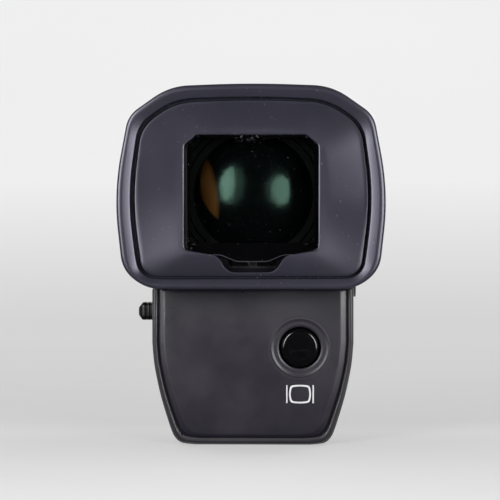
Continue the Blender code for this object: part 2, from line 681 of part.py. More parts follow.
def base_housing():
    """One moulding: the hollow block, the tray over the shoe, the hinge bar and its knuckles."""
    half = BLOCK_HALF_WIDTH
    body = prism(
        "base_housing",
        block_outline(0, 0, TRAY_TOP_Z),
        "Y",
        BLOCK_REAR_Y,
        BLOCK_FRONT_Y,
        "moulded_grey",
    )
    rim_outline = block_outline(0, 0, COVER_TOP_Z)
    rim = prism("panel_rim", rim_outline, "Y", BLOCK_REAR_Y, LEDGE_Y)
    tray_y = (BLOCK_INSIDE_FRONT_Y, BAR_FRONT_Y)
    bar_y = (BAR_REAR_Y, BAR_FRONT_Y)
    tray = box("tray", (-half, half), tray_y, (FLOOR_Z, TRAY_TOP_Z))
    bar = box("hinge_bar", (-half, half), bar_y, (FLOOR_Z, COVER_TOP_Z))
    join(body, rim, tray, bar)
    cavity = prism(
        "block_cavity",
        block_outline(WALL, WALL, TRAY_TOP_Z + OVERRUN),
        "Y",
        LEDGE_Y - OVERRUN,
        BLOCK_INSIDE_FRONT_Y,
    )
    inside = half - WALL
    tray_inside_y = (BLOCK_INSIDE_FRONT_Y - OVERRUN, BAR_REAR_Y)
    tray_cavity = box(
        "tray_cavity", (-inside, inside), tray_inside_y, (FLOOR_TOP_Z, TRAY_TOP_Z + OVERRUN)
    )
    pocket = prism(
        "panel_pocket",
        block_outline(PANEL_RIM, PANEL_BOTTOM_RIM, COVER_TOP_Z + OVERRUN),
        "Y",
        BLOCK_REAR_Y - OVERRUN,
        LEDGE_Y,
    )
    cut(body, cavity, tray_cavity, pocket)
    cut(body, hinge_cylinder("bar_clearance", HINGE_CUT_RADIUS, -HINGE_OUTER_X, HINGE_OUTER_X))
    outer = HINGE_OUTER_X
    join(body, base_knuckle("left", (-outer, -HINGE_INNER_X)))
    join(body, base_knuckle("right", (HINGE_INNER_X, outer)))
    for index, x, y in screw_places():
        boss_top = SCREW_RECESS + SCREW_LENGTH + SEAT_GAP + SCREW_BOSS_CAP
        boss_z = (FLOOR_TOP_Z - OVERRUN / 2, boss_top)
        boss = rod(f"screw_boss_{index}", SCREW_BOSS_RADIUS, "Z", (x, y, 0), *boss_z)
        join(body, boss)
    for index, x, y in screw_places():
        hole_z = (FLOOR_Z - OVERRUN, SCREW_RECESS + SCREW_LENGTH + SEAT_GAP)
        hole = rod(f"boss_hole_{index}", SCREW_SHANK_RADIUS + BORE_GAP, "Z", (x, y, 0), *hole_z)
        cut(body, hole)
    cut(body, hinge_cylinder("pin_bore", PIN_RADIUS + BORE_GAP, -outer - OVERRUN, outer + OVERRUN))
    pin_hole = rod(
        "lock_pin_hole",
        LOCK_PIN_RADIUS + BORE_GAP,
        "Z",
        (0, LOCK_PIN_Y, 0),
        FLOOR_Z - OVERRUN,
        FLOOR_TOP_Z + OVERRUN,
    )
    cut(body, pin_hole, knob_slot(), ribbon_bar_slot(), plug_hole())
    return body


def knob_slot():
    """The slot in the left wall for the neck of the lock's knob and its travel."""
    neck_half = LOCK_ARM_LENGTH / 2
    slot_y = (LOCK_KNOB_Y - neck_half - RUN_GAP, LOCK_KNOB_Y + neck_half + LOCK_TRAVEL + RUN_GAP)
    slot_z = (SLIDER_Z - RUN_GAP, SLIDER_TOP_Z + RUN_GAP)
    slot_x = (-BLOCK_HALF_WIDTH - OVERRUN, -BLOCK_HALF_WIDTH + WALL + OVERRUN)
    return box("knob_slot", slot_x, slot_y, slot_z)


def ribbon_slot_x():
    reach = RIBBON_WIDTH / 2 + RIBBON_SLOT_SIDE_GAP
    return (RIBBON_X - reach, RIBBON_X + reach)


def ribbon_bar_slot():
    slot_z = (RIBBON_SLOT_Z - RIBBON_SLOT_HEIGHT / 2, RIBBON_SLOT_Z + RIBBON_SLOT_HEIGHT / 2)
    slot_y = (BAR_REAR_Y - OVERRUN, BAR_FRONT_Y + OVERRUN)
    return box("ribbon_bar_slot", ribbon_slot_x(), slot_y, slot_z)


def plug_outline(margin):
    return rounded_rectangle(
        -PLUG_WIDTH / 2 - margin,
        PLUG_WIDTH / 2 + margin,
        PLUG_Z - PLUG_HEIGHT / 2 - margin,
        PLUG_Z + PLUG_HEIGHT / 2 + margin,
        PLUG_CORNER,
        3,
    )


def plug_hole():
    hole_y = (BLOCK_INSIDE_FRONT_Y - OVERRUN, BLOCK_FRONT_Y + OVERRUN)
    return prism("plug_hole", plug_outline(BORE_GAP), "Y", *hole_y)


def screw_places():
    """The four foot screws: a number, and the place in X and Y."""
    signs = ((-1, -1), (1, -1), (1, 1), (-1, 1))
    half_x = SCREW_SPACING_X / 2
    half_y = SCREW_SPACING_Y / 2
    return [(n + 1, half_x * a, half_y * b) for n, (a, b) in enumerate(signs)]


def shoe_foot():
    """The flange and neck that slide into the shoe, bored for its screws and the lock pin."""
    half_width = FOOT_WIDTH / 2
    half_length = FOOT_LENGTH / 2
    outline = rounded_rectangle(-half_width, half_width, -half_length, half_length, FOOT_CORNER, 2)
    foot = prism("shoe_foot", outline, "Z", 0, FOOT_THICK, "aluminium")
    neck_x = (-NECK_WIDTH / 2, NECK_WIDTH / 2)
    neck_y = (-NECK_LENGTH / 2, NECK_LENGTH / 2)
    join(foot, box("foot_neck", neck_x, neck_y, (FOOT_THICK - OVERRUN, NECK_TOP_Z)))
    head_hole_z = (-OVERRUN, SCREW_RECESS + SCREW_HEAD_DEPTH + SEAT_GAP)
    for index, x, y in screw_places():
        shank = SCREW_SHANK_RADIUS + BORE_GAP
        head = SCREW_HEAD_RADIUS + BORE_GAP
        shank_z = (-OVERRUN, NECK_TOP_Z + OVERRUN)
        cut(foot, rod(f"foot_hole_{index}", shank, "Z", (x, y, 0), *shank_z))
        cut(foot, rod(f"foot_counterbore_{index}", head, "Z", (x, y, 0), *head_hole_z))
    pin_z = (-OVERRUN, NECK_TOP_Z + OVERRUN)
    pin_hole = rod("foot_pin_hole", LOCK_PIN_RADIUS + BORE_GAP, "Z", (0, LOCK_PIN_Y, 0), *pin_z)
    return cut(foot, pin_hole)


def foot_screws():
    head_top = SCREW_RECESS + SCREW_HEAD_DEPTH
    profile = [
        (0, SCREW_RECESS),
        (SCREW_HEAD_RADIUS, SCREW_RECESS),
        (SCREW_HEAD_RADIUS, head_top),
        (SCREW_SHANK_RADIUS, head_top),
        (SCREW_SHANK_RADIUS, SCREW_RECESS + SCREW_LENGTH),
        (0, SCREW_RECESS + SCREW_LENGTH),
    ]
    for index, x, y in screw_places():
        turned(f"foot_screw_{index}", profile, "Z", (x, y, 0), "steel", 12)


def base_top_cover():
    """The lid over the block and the tray, up to the hinge bar."""
    half = BLOCK_HALF_WIDTH
    cover_y = (LEDGE_Y + SEAT_GAP, BAR_REAR_Y - SEAT_GAP)
    return box("base_top_cover", (-half, half), cover_y, (COVER_Z, COVER_TOP_Z), "moulded_grey")


def rear_panel():
    """The inset panel with a bevelled edge, a shallow dish and the button's hole."""
    side = PANEL_RIM + PANEL_GROOVE
    bottom = PANEL_BOTTOM_RIM + PANEL_GROOVE
    outer = block_outline(side, bottom, COVER_TOP_Z)
    inner = block_outline(side + PANEL_BEVEL, bottom + PANEL_BEVEL, COVER_TOP_Z)
    bevel_y = BLOCK_REAR_Y + PANEL_BEVEL_DEPTH
    sections = ((inner, BLOCK_REAR_Y), (outer, bevel_y), (outer, PANEL_INNER_Y))
    loops = [[(x, y, z) for x, z in outline] for outline, y in sections]
    panel = loft("rear_panel", loops, "panel_grey")
    centre = (BUTTON_X, 0, BUTTON_Z)
    dish_y = (BLOCK_REAR_Y - OVERRUN, BLOCK_REAR_Y + BUTTON_DISH_DEPTH)
    hole_y = (BLOCK_REAR_Y - OVERRUN, PANEL_INNER_Y + OVERRUN)
    hole_radius = BUTTON_RADIUS + BUTTON_HOLE_GAP
    dish = rod("button_dish", BUTTON_DISH_RADIUS, "Y", centre, *dish_y, steps=ROUND_STEPS)
    hole = rod("button_hole", hole_radius, "Y", centre, *hole_y, steps=ROUND_STEPS)
    return cut(panel, dish, hole)


def main_board():
    """The circuit board that stands in the block, shaped to the block's taper."""
    inset = WALL + BOARD_EDGE_GAP
    outline = block_outline(inset, inset, BOARD_TOP_Z)
    prism("main_board", outline, "Y", BOARD_REAR_Y, BOARD_FRONT_Y, "board_green")
    half = CHIP_SIZE / 2
    chip_y = BOARD_FRONT_Y + SEAT_GAP
    chip_z = (CHIP_Z - half, CHIP_Z + half)
    box("driver_chip", (-half, half), (chip_y, chip_y + CHIP_THICK), chip_z, "black_plastic")
    half = CONNECTOR_WIDTH / 2
    top = BOARD_TOP_Z - CONNECTOR_DROP
    connector_y = (chip_y, chip_y + CONNECTOR_THICK)
    connector_x = (RIBBON_X - half, RIBBON_X + half)
    box("main_connector", connector_x, connector_y, (top - CONNECTOR_HEIGHT, top), "white_plastic")


def monitor_button():
    """The round button: a domed cap, the flange that holds it in, and the stem to its switch."""
    face = BLOCK_REAR_Y - BUTTON_PROUD
    flange_rear = PANEL_INNER_Y + SEAT_GAP
    flange_front = flange_rear + BUTTON_FLANGE_THICK
    switch_rear = BOARD_REAR_Y - SEAT_GAP - SWITCH_BODY_THICK
    plunger_rear = switch_rear - SWITCH_PLUNGER_OUT
    stem_end = plunger_rear - SEAT_GAP
    edge = [math.pi / 2 * step / 4 for step in range(5)]
    cap = [
        (BUTTON_RADIUS - BUTTON_EDGE * (1 - math.sin(t)), face + BUTTON_EDGE * (1 - math.cos(t)))
        for t in edge
    ]
    profile = [(0, face), *cap]
    profile += [(BUTTON_RADIUS, flange_rear), (BUTTON_FLANGE_RADIUS, flange_rear)]
    profile += [(BUTTON_FLANGE_RADIUS, flange_front), (BUTTON_STEM_RADIUS, flange_front)]
    profile += [(BUTTON_STEM_RADIUS, stem_end), (0, stem_end)]
    centre = (BUTTON_X, 0, BUTTON_Z)
    button = turned("monitor_button", profile, "Y", centre, "black_gloss")
    seat_on_axis(button, (BUTTON_X, face, BUTTON_Z))
    plunger_y = (plunger_rear, plunger_rear + SWITCH_PLUNGER_LENGTH)
    plunger = rod(
        "switch_plunger", SWITCH_PLUNGER_RADIUS, "Y", centre, *plunger_y, "white_plastic", 16
    )
    seat_on_axis(plunger, (BUTTON_X, plunger_rear, BUTTON_Z))
    half = SWITCH_SIZE / 2
    switch = box(
        "tact_switch",
        (BUTTON_X - half, BUTTON_X + half),
        (switch_rear, switch_rear + SWITCH_BODY_THICK),
        (BUTTON_Z - half, BUTTON_Z + half),
        "steel",
    )
    bore_y = (switch_rear - OVERRUN, switch_rear + SWITCH_BORE_DEPTH)
    cut(switch, rod("switch_bore", SWITCH_PLUNGER_RADIUS + BORE_GAP, "Y", centre, *bore_y, steps=16))


def accessory_plug():
    """The plug that points forward from the block: a metal shell and the contact tongue in it."""
    collar_y = BLOCK_INSIDE_FRONT_Y - SEAT_GAP
    tip = BLOCK_FRONT_Y + PLUG_LENGTH
    collar_start = collar_y - PLUG_COLLAR_THICK
    shell = prism("plug_shell", plug_outline(0), "Y", collar_start, tip, "steel")
    join(shell, prism("plug_collar", plug_outline(PLUG_COLLAR), "Y", collar_start, collar_y))
    root = collar_start + TONGUE_ROOT_THICK
    cut(shell, prism("plug_bore", plug_outline(-PLUG_WALL), "Y", root, tip + OVERRUN))
    half = TONGUE_WIDTH / 2
    tongue_y = (root + SEAT_GAP, tip - TONGUE_SETBACK)
    tongue_z = (PLUG_Z - TONGUE_THICK / 2, PLUG_Z + TONGUE_THICK / 2)
    box("plug_tongue", (-half, half), tongue_y, tongue_z, "brass")


def lock_slider():
    """The knob on the left, its bar in the tray, and two prongs whose ramps lift the lock pin."""
    half = LOCK_BAR_WIDTH / 2
    arm_half = LOCK_ARM_LENGTH / 2
    slot_half = LOCK_PIN_RADIUS + BORE_GAP
    rise_end_y = LOCK_PIN_Y - LOCK_HEAD_LENGTH / 2 - LOCK_TRAVEL
    rise = (RAMP_TIP_Y - rise_end_y) * LOCK_SLOPE
    rise_top = RAMP_TIP_Z + rise
    bar_rear = LOCK_KNOB_Y - arm_half
    side_view = [
        (bar_rear, SLIDER_Z),
        (RAMP_TIP_Y, SLIDER_Z),
        (RAMP_TIP_Y, RAMP_TIP_Z),
        (rise_end_y, rise_top),
        (rise_end_y - LOCK_BAR_THICK, rise_top),
        (rise_end_y - LOCK_BAR_THICK, SLIDER_TOP_Z),
        (bar_rear, SLIDER_TOP_Z),
    ]
    slider = prism("lock_slider", side_view, "X", -half, half, "black_plastic")
    arm_y = (bar_rear, LOCK_KNOB_Y + arm_half)
    neck_end = -BLOCK_HALF_WIDTH - SEAT_GAP
    arm_z = (SLIDER_Z, SLIDER_TOP_Z)
    arm = box("slider_arm", (neck_end - OVERRUN / 2, -half + OVERRUN), arm_y, arm_z)
    knob_half = LOCK_KNOB_LENGTH / 2
    outline = rounded_rectangle(
        LOCK_KNOB_Y - knob_half,
        LOCK_KNOB_Y + knob_half,
        LOCK_KNOB_Z - LOCK_KNOB_HEIGHT / 2,
        LOCK_KNOB_Z + LOCK_KNOB_HEIGHT / 2,
        LOCK_KNOB_EDGE,
        3,
    )
    knob = prism("slider_knob", outline, "X", -LOCK_KNOB_REACH, neck_end)
    join(slider, arm, knob)
    slot_start = LOCK_PIN_Y - LOCK_PIN_RADIUS - LOCK_TRAVEL - RUN_GAP
    slot_z = (SLIDER_Z - OVERRUN, rise_top + OVERRUN)
    slot = box("prong_slot", (-slot_half, slot_half), (slot_start, RAMP_TIP_Y + OVERRUN), slot_z)
    cut(slider, slot)
    seat_on_axis(slider, (-LOCK_KNOB_REACH, LOCK_KNOB_Y, LOCK_KNOB_Z))


def lock_pin():
    """The pin through the foot, with wings whose slanted undersides ride on the prongs."""
    half_length = LOCK_HEAD_LENGTH / 2
    rear = LOCK_PIN_Y - half_length
    front = LOCK_PIN_Y + half_length
    rear_z = RAMP_TIP_Z + RAMP_GAP + (RAMP_TIP_Y - rear) * LOCK_SLOPE
    front_z = RAMP_TIP_Z + RAMP_GAP + (RAMP_TIP_Y - front) * LOCK_SLOPE
    top = rear_z + LOCK_HEAD_THICK
    side_view = [(rear, rear_z), (front, front_z), (front, top), (rear, top)]
    half_width = LOCK_HEAD_WIDTH / 2
    pin = prism("lock_pin", side_view, "X", -half_width, half_width, "steel")
    centre = (0, LOCK_PIN_Y, 0)
    shaft_z = (-LOCK_PIN_REACH, rear_z + LOCK_HEAD_THICK / 2)
    join(pin, rod("lock_pin_shaft", LOCK_PIN_RADIUS, "Z", centre, *shaft_z, steps=16))
    seat_on_axis(pin, centre)
    return top


def lock_spring(pin_top):
    """The leaf under the lid that holds the lock pin down, fixed at its rear end."""
    tip_y = LOCK_PIN_Y + SPRING_TIP
    root_y = tip_y - SPRING_LENGTH
    root_top = COVER_Z - SEAT_GAP
    tip_top = pin_top + SEAT_GAP + SPRING_THICK
    steps = 8
    shares = [step / steps for step in range(steps + 1)]
    upper = [(root_y + SPRING_LENGTH * s, root_top + (tip_top - root_top) * s * s) for s in shares]
    lower = [(y, z - SPRING_THICK) for y, z in reversed(upper)]
    half = SPRING_WIDTH / 2
    prism("lock_spring", upper + lower, "X", -half, half, "steel")


def smooth_route(points, steps):
    """A smooth curve through every point of a route."""
    points = [Vector(point) for point in points]
    ends = [points[0] * 2 - points[1], *points, points[-1] * 2 - points[-2]]
    route = []
    for a, b, c, d in zip(ends, ends[1:], ends[2:], ends[3:]):
        for step in range(steps):
            t = step / steps
            bend = (c - a) * t + (a * 2 - b * 5 + c * 4 - d) * t**2
            route.append(b + (bend + (b * 3 - a - c * 3 + d) * t**3) / 2)
    route.append(points[-1])
    return route


def flex_cable():
    """The flat cable between the two boards, which bends round the hinge pin."""
    places = [(BOARD_FRONT_Y + y, RIBBON_SLOT_Z + z) for y, z in RIBBON_BOARD_ROUTE]
    places += [(HINGE_Y + y, HINGE_Z + z) for y, z in RIBBON_HINGE_ROUTE]
    route = smooth_route(places, RIBBON_STEPS)
    left_edge, right_edge = [], []
    for index, point in enumerate(route):
        before = route[max(index - 1, 0)]
        after = route[min(index + 1, len(route) - 1)]
        heading = (after - before).normalized()
        offset = Vector((-heading.y, heading.x)) * (RIBBON_THICK / 2)
        left_edge.append(point + offset)
        right_edge.append(point - offset)
    half = RIBBON_WIDTH / 2
    across = (RIBBON_X - half, RIBBON_X + half)
    rows = []
    for x in across:
        rows.append([Vector((x, y, z)) for y, z in left_edge])
        rows.append([Vector((x, y, z)) for y, z in right_edge])
    loops = list(zip(rows[0], rows[1], rows[3], rows[2]))
    loft("flex_cable", loops, "polyimide")


def hinge():
    """The steel pin through all the knuckles, and the washer that gives the tilt its friction."""
    end = HINGE_OUTER_X - PIN_SETBACK
    tip_radius = PIN_RADIUS - PIN_EDGE
    profile = [
        (0, -end),
        (tip_radius, -end),
        (PIN_RADIUS, PIN_EDGE - end),
        (PIN_RADIUS, end - PIN_EDGE),
        (tip_radius, end),
        (0, end),
    ]
    centre = (0, HINGE_Y, HINGE_Z)
    turned("hinge_pin", profile, "X", centre, "steel", SMALL_ROUND_STEPS)
    start = SEAT_GAP - HINGE_INNER_X
    bore = PIN_RADIUS + BORE_GAP
    ring = [(bore, start), (WASHER_RADIUS, start)]
    ring += [(WASHER_RADIUS, start + WASHER_THICK), (bore, start + WASHER_THICK)]
    turned("friction_washer", ring, "X", centre, "brass", SMALL_ROUND_STEPS)


# Head


def head_outline(place_y, inset):
    """The head's shape across Y, bottom right corner first, drawn in by its wall where asked."""
    share = (place_y - HEAD_REAR_Y) / (HEAD_FRONT_Y - HEAD_REAR_Y)
    half = HEAD_REAR_HALF_WIDTH + (HEAD_FRONT_HALF_WIDTH - HEAD_REAR_HALF_WIDTH) * share - inset
    top = HEAD_TOP_Z + (HEAD_FRONT_TOP_Z - HEAD_TOP_Z) * share - inset
    bottom = HEAD_BOTTOM_Z + inset
    chamfer = HEAD_SHOULDER_IN - inset * math.tan(math.pi / 8)
    drop = HEAD_SHOULDER_DROP - inset * math.tan(math.pi / 8)
    right = [(half, bottom), (half, top - drop), (half - chamfer, top)]
    corners = right + [(-x, z) for x, z in reversed(right)]
    keep = 1 - inset / (HEAD_WALL * 3)
    fillets = [HEAD_BOTTOM_FILLET, HEAD_SHOULDER_FILLET, HEAD_TOP_FILLET]
    fillets = [fillet * keep for fillet in fillets]
    bows = [HEAD_SIDE_BOW, 0, HEAD_TOP_BOW, 0, HEAD_SIDE_BOW, 0]
    outline = rounded(*bowed(corners, fillets + fillets[::-1], bows), 3)
    return [(x, place_y, z) for x, z in outline]


def head_cutter(name, margin, end_x, quadrant_z):
    """What the hinge takes from the head: a cylinder on the axis and the corner below it."""
    cylinder = hinge_cylinder(name, HINGE_RADIUS + margin, -end_x, end_x)
    front = HEAD_FRONT_Y + OVERRUN
    corner_z = (HEAD_BOTTOM_Z - OVERRUN, HINGE_Z + quadrant_z)
    return join(cylinder, box(f"{name}_corner", (-end_x, end_x), (HINGE_Y, front), corner_z))


def head_shell(name):
    """The hollow head before it is parted, with its hinge recess and the arm of its knuckle."""
    round_y = HEAD_FRONT_Y - HEAD_FRONT_ROUND
    sections = [(SHELL_REAR_Y, 0), (round_y, 0)]
    turns = [math.pi / 2 * step / 4 for step in range(1, 5)]
    for t in turns:
        sections.append((round_y + HEAD_FRONT_ROUND * math.sin(t), HEAD_FRONT_ROUND * (1 - math.cos(t))))
    shell = loft(name, [head_outline(y, inset) for y, inset in sections], "moulded_grey")
    inside_ends = (SHELL_REAR_Y - OVERRUN, HEAD_FRONT_Y - HEAD_WALL)
    inside = loft(f"{name}_inside", [head_outline(y, HEAD_WALL) for y in inside_ends])
    reach = HEAD_REAR_HALF_WIDTH + OVERRUN
    cut(inside, head_cutter(f"{name}_hinge_wall", RUN_GAP + HINGE_WALL, reach, RUN_GAP + HINGE_WALL))
    cut(shell, inside, head_cutter(f"{name}_hinge_recess", RUN_GAP, reach, RUN_GAP))
    return shell


def head_knuckle():
    """The head's own hinge barrel and the arm that ties it to the recess wall."""
    start = SEAT_GAP - HINGE_INNER_X + WASHER_THICK + BORE_GAP
    barrel = hinge_cylinder("head_knuckle", HINGE_RADIUS, start, HEAD_KNUCKLE_END_X)
    arm_y = (HINGE_Y - HEAD_ARM_BACK, HINGE_Y + HEAD_ARM_FRONT)
    arm_z = (HINGE_Z, HINGE_Z + HINGE_CUT_RADIUS + HINGE_WALL / 2)
    return join(barrel, box("head_knuckle_arm", (start, HEAD_KNUCKLE_END_X), arm_y, arm_z))


def head_covers(pivot):
    """The head's two mouldings, parted at the seam along the sides and the front."""
    reach = HEAD_REAR_HALF_WIDTH + OVERRUN
    whole_y = (SHELL_REAR_Y - OVERRUN, HEAD_FRONT_Y + OVERRUN)
    top_cover = head_shell("head_top_cover")
    below = (HEAD_BOTTOM_Z - OVERRUN, HEAD_SEAM_Z + SEAT_GAP / 2)
    cut(top_cover, box("below_seam", (-reach, reach), whole_y, below))
    dial_centre = (0, DIAL_Y, OPTICAL_AXIS_Z)
    seat_end = HEAD_REAR_HALF_WIDTH + DIAL_PROUD
    seat_x = (DIAL_SEAT_X, seat_end)
    cut(top_cover, rod("dial_seat", DIAL_RADIUS + RUN_GAP, "X", dial_centre, *seat_x, steps=ROUND_STEPS))
    hole_x = (CAM_OUTER_X, seat_end)
    cut(top_cover, rod("dial_hole", DIAL_SHAFT_RADIUS + BORE_GAP, "X", dial_centre, *hole_x))

    bottom_cover = head_shell("head_bottom_cover")
    above = (HEAD_SEAM_Z - SEAT_GAP / 2, HEAD_TOP_Z + OVERRUN)
    cut(bottom_cover, box("above_seam", (-reach, reach), whole_y, above))
    join(bottom_cover, head_knuckle())
    bore = PIN_RADIUS + BORE_GAP
    cut(bottom_cover, hinge_cylinder("head_pin_bore", bore, -HINGE_INNER_X, HINGE_INNER_X))
    slot_y = (HINGE_Y - HEAD_ARM_BACK, HINGE_Y + HINGE_WALL / 2)
    slot_z = (HINGE_Z + HINGE_RADIUS / 2, HINGE_Z + HINGE_CUT_RADIUS + HINGE_WALL + OVERRUN)
    cut(bottom_cover, box("ribbon_head_slot", ribbon_slot_x(), slot_y, slot_z))
    for cover in (top_cover, bottom_cover):
        seat_on_axis(cover, (0, HINGE_Y, HINGE_Z), pivot)


# Eyepiece


def cup_outline(half, top, corner_shares, fillets, side_bow):
    """Eight rounded corners with bowed sides, as (x, z) about the eyecup's centre."""
    right = [(half * across, top * up) for across, up in reversed(corner_shares)]
    corners = right + [(-x, z) for x, z in reversed(right)]
    bows = [0, side_bow, 0, CUP_TOP_BOW, 0, side_bow, 0, 0]
    return rounded(*bowed(corners, fillets + fillets[::-1], bows), 5)


def lip_outline():
    return cup_outline(CUP_HALF_WIDTH, CUP_TOP, CUP_CORNER_SHARES, CUP_FILLETS, CUP_SIDE_BOW)


def groove_outline():
    return cup_outline(
        CUP_INNER_HALF_WIDTH,
        CUP_INNER_TOP,
        CUP_INNER_CORNER_SHARES,
        CUP_INNER_FILLETS,
        CUP_INNER_SIDE_BOW,
    )


def mixed(first, second, share):
    return [a.lerp(b, share) for a, b in zip(first, second)]


def scaled(outline, shares):
    """An outline scaled across, upward and downward by its own share each."""
    across, up, down = shares
    return [Vector((x * across, z * (up if z > 0 else down))) for x, z in outline]


def grown(outline, margin):
    """An outline pushed outward by a margin, or inward by a negative one."""
    half = max(x for x, _ in outline)
    top = max(z for _, z in outline)
    bottom = -min(z for _, z in outline)
    shares = [(reach + margin) / reach for reach in (half, top, bottom)]
    return scaled(outline, shares)


def at_depth(outline, y):
    return [(x, y, CUP_Z + z) for x, z in outline]


def boss_outline(margin):
    return grown(scaled(groove_outline(), FRAME_BOSS_SHARES), margin)


def window_outline():
    """The eyecup's window: chamfered top corners and, below, the notch of the eye sensor."""
    slant_z = WINDOW_BOTTOM_Z - WINDOW_BOTTOM_SLANT
    half = [
        (WINDOW_HALF_WIDTH - WINDOW_CHAMFER_X, WINDOW_TOP_Z),
        (WINDOW_HALF_WIDTH, WINDOW_TOP_Z - WINDOW_CHAMFER_Z),
        (WINDOW_HALF_WIDTH, WINDOW_BOTTOM_Z),
        (NOTCH_TOP_WIDTH / 2, slant_z),
        (NOTCH_BOTTOM_WIDTH / 2, NOTCH_BOTTOM_Z),
    ]
    return mirrored(half)


def eyecup():
    """The soft cup in one moulding: skirt, flare, rolled lip, groove and sunken funnel face."""
    lip = lip_outline()
    groove = groove_outline()
    skirt_y = HEAD_REAR_Y - SEAT_GAP
    web_y = BOSS_REAR_Y - SEAT_GAP
    flare_end_y = LIP_Y + LIP_BACK
    loops = [at_depth(boss_outline(SEAT_GAP), web_y), at_depth(boss_outline(SEAT_GAP), skirt_y)]
    for along, *shares in CUP_FLARE_SHARES:
        loops.append(at_depth(scaled(lip, shares), skirt_y + (flare_end_y - skirt_y) * along))
    lip_reach = CUP_HALF_WIDTH - CUP_INNER_HALF_WIDTH
    for step in range(5):
        t = math.pi / 2 * step / 4
        inset = LIP_ROUND * (1 - math.cos(t))
        y = LIP_Y + LIP_ROUND * (1 - math.sin(t))
        loops.append(at_depth(mixed(lip, groove, inset / lip_reach), y))
    for step in range(1, 4):
        t = math.pi / 2 * step / 3
        inset = lip_reach - LIP_INNER_DROP * (1 - math.sin(t))
        y = LIP_Y + LIP_INNER_DROP * (1 - math.cos(t))
        loops.append(at_depth(mixed(lip, groove, inset / lip_reach), y))
    loops.append(at_depth(groove, LIP_Y + GROOVE_DROP))
    loops.append(at_depth(grown(groove, -GROOVE_WIDTH), LIP_Y + GROOVE_DROP))
    loops.append(at_depth(grown(groove, -GROOVE_WIDTH - SEAT_GAP), LIP_Y + FACE_DROP))
    loops.append(at_depth(grown(groove, -GROOVE_WIDTH - FACE_FLAT_WIDTH), LIP_Y + GROOVE_DROP))
    loops.append(at_depth(scaled(groove, FACE_RIM_SHARES), web_y - CUP_WEB_THICK))
    cup = loft("eyecup", loops, "cup_rubber")
    window_y = (LIP_Y, web_y + OVERRUN)
    return cut(cup, prism("cup_window", window_outline(), "Y", *window_y))


def eyepiece_frame():
    """The plate that closes the head, with the boss that carries the glass and the eyecup."""
    plate_loops = [head_outline(HEAD_REAR_Y, 0), head_outline(PLATE_FRONT_Y, 0)]
    frame = loft("eyepiece_frame", plate_loops, "black_plastic")
    boss_ends = (BOSS_REAR_Y, HEAD_REAR_Y + OVERRUN)
    join(frame, loft("frame_boss", [at_depth(boss_outline(0), y) for y in boss_ends]))
    pocket = glass_outline(BORE_GAP)
    cut(frame, prism("glass_pocket", pocket, "Y", BOSS_REAR_Y - OVERRUN, GLASS_SEAT_Y))
    half = FRAME_OPENING_HALF_WIDTH
    opening = rounded_rectangle(
        -half, half, FRAME_OPENING_BOTTOM_Z, FRAME_OPENING_TOP_Z, FRAME_OPENING_CORNER
    )
    through_y = (BOSS_REAR_Y, PLATE_FRONT_Y + OVERRUN)
    cut(frame, prism("frame_opening", opening, "Y", *through_y))
    well_x = (-SENSOR_WELL_WIDTH / 2, SENSOR_WELL_WIDTH / 2)
    well_z = (SENSOR_Z - SENSOR_WELL_HEIGHT / 2, SENSOR_Z + SENSOR_WELL_HEIGHT / 2)
    return cut(frame, box("sensor_well", well_x, through_y, well_z))


def glass_outline(margin):
    half = GLASS_HALF_WIDTH + margin
    bottom = GLASS_BOTTOM_Z - margin
    return rounded_rectangle(-half, half, bottom, GLASS_TOP_Z + margin, GLASS_CORNER)


def eye_sensor():
    """The emitter and the detector that see an eye come near, on their small board."""
    board_half = SENSOR_WELL_WIDTH / 2 + SENSOR_BOARD_EDGE
    board_reach = SENSOR_WELL_HEIGHT / 2 + SENSOR_BOARD_EDGE
    board_y = (SHELL_REAR_Y, SHELL_REAR_Y + SENSOR_BOARD_THICK)
    board_z = (SENSOR_Z - board_reach, SENSOR_Z + board_reach)
    pieces = [box("sensor_board", (-board_half, board_half), board_y, board_z, "board_green")]
    front = SHELL_REAR_Y - SEAT_GAP
    for name, side in (("sensor_emitter", -1), ("sensor_detector", 1)):
        x = side * SENSOR_SPACING / 2
        across = (x - SENSOR_WIDTH / 2, x + SENSOR_WIDTH / 2)
        along = (front - SENSOR_DEPTH, front)
        up = (SENSOR_Z - SENSOR_HEIGHT / 2, SENSOR_Z + SENSOR_HEIGHT / 2)
        pieces.append(box(name, across, along, up, "black_gloss"))
    return pieces


# Optics


def on_axis(name, profile, colour, steps=ROUND_STEPS):
    return turned(name, profile, "Y", (0, 0, OPTICAL_AXIS_Z), colour, steps)


def bulge(radius, height, steps=4):
    """A lens face's shares of its bulge, from the middle out to the rim, as a spherical cap."""
    sphere = (radius**2 + height**2) / (2 * height)
    places = [radius * step / steps for step in range(steps + 1)]
    return [(r, math.sqrt(sphere**2 - r**2) - (sphere - height)) for r in places]


def lens(name, radius, start, edge, height):
    """A lens with both faces convex and a ground edge."""
    rear = [(r, start - h) for r, h in bulge(radius, height)]
    front = [(r, start + edge + h) for r, h in reversed(bulge(radius, height))]
    return on_axis(name, rear + front, "glass")


def eye_lens(radius):
    """The lens next to the eye: a strongly curved face inside a flat flange for its ring."""
    cap_radius = radius - EYE_LENS_FLANGE
    rear = [(r, EYE_LENS_Y - h) for r, h in bulge(cap_radius, EYE_LENS_REAR_BULGE, 8)]
    rear.append((radius, EYE_LENS_Y))
    front_y = EYE_LENS_Y + EYE_LENS_EDGE
    front = [(r, front_y + h) for r, h in reversed(bulge(radius, EYE_LENS_BULGE))]
    return on_axis("eye_lens", rear + front, "glass")


def ring(name, outer, start, end, colour):
    inner = outer - RING_WIDTH
    profile = [(inner, start), (outer, start), (outer, end), (inner, end)]
    return on_axis(name, profile, colour)


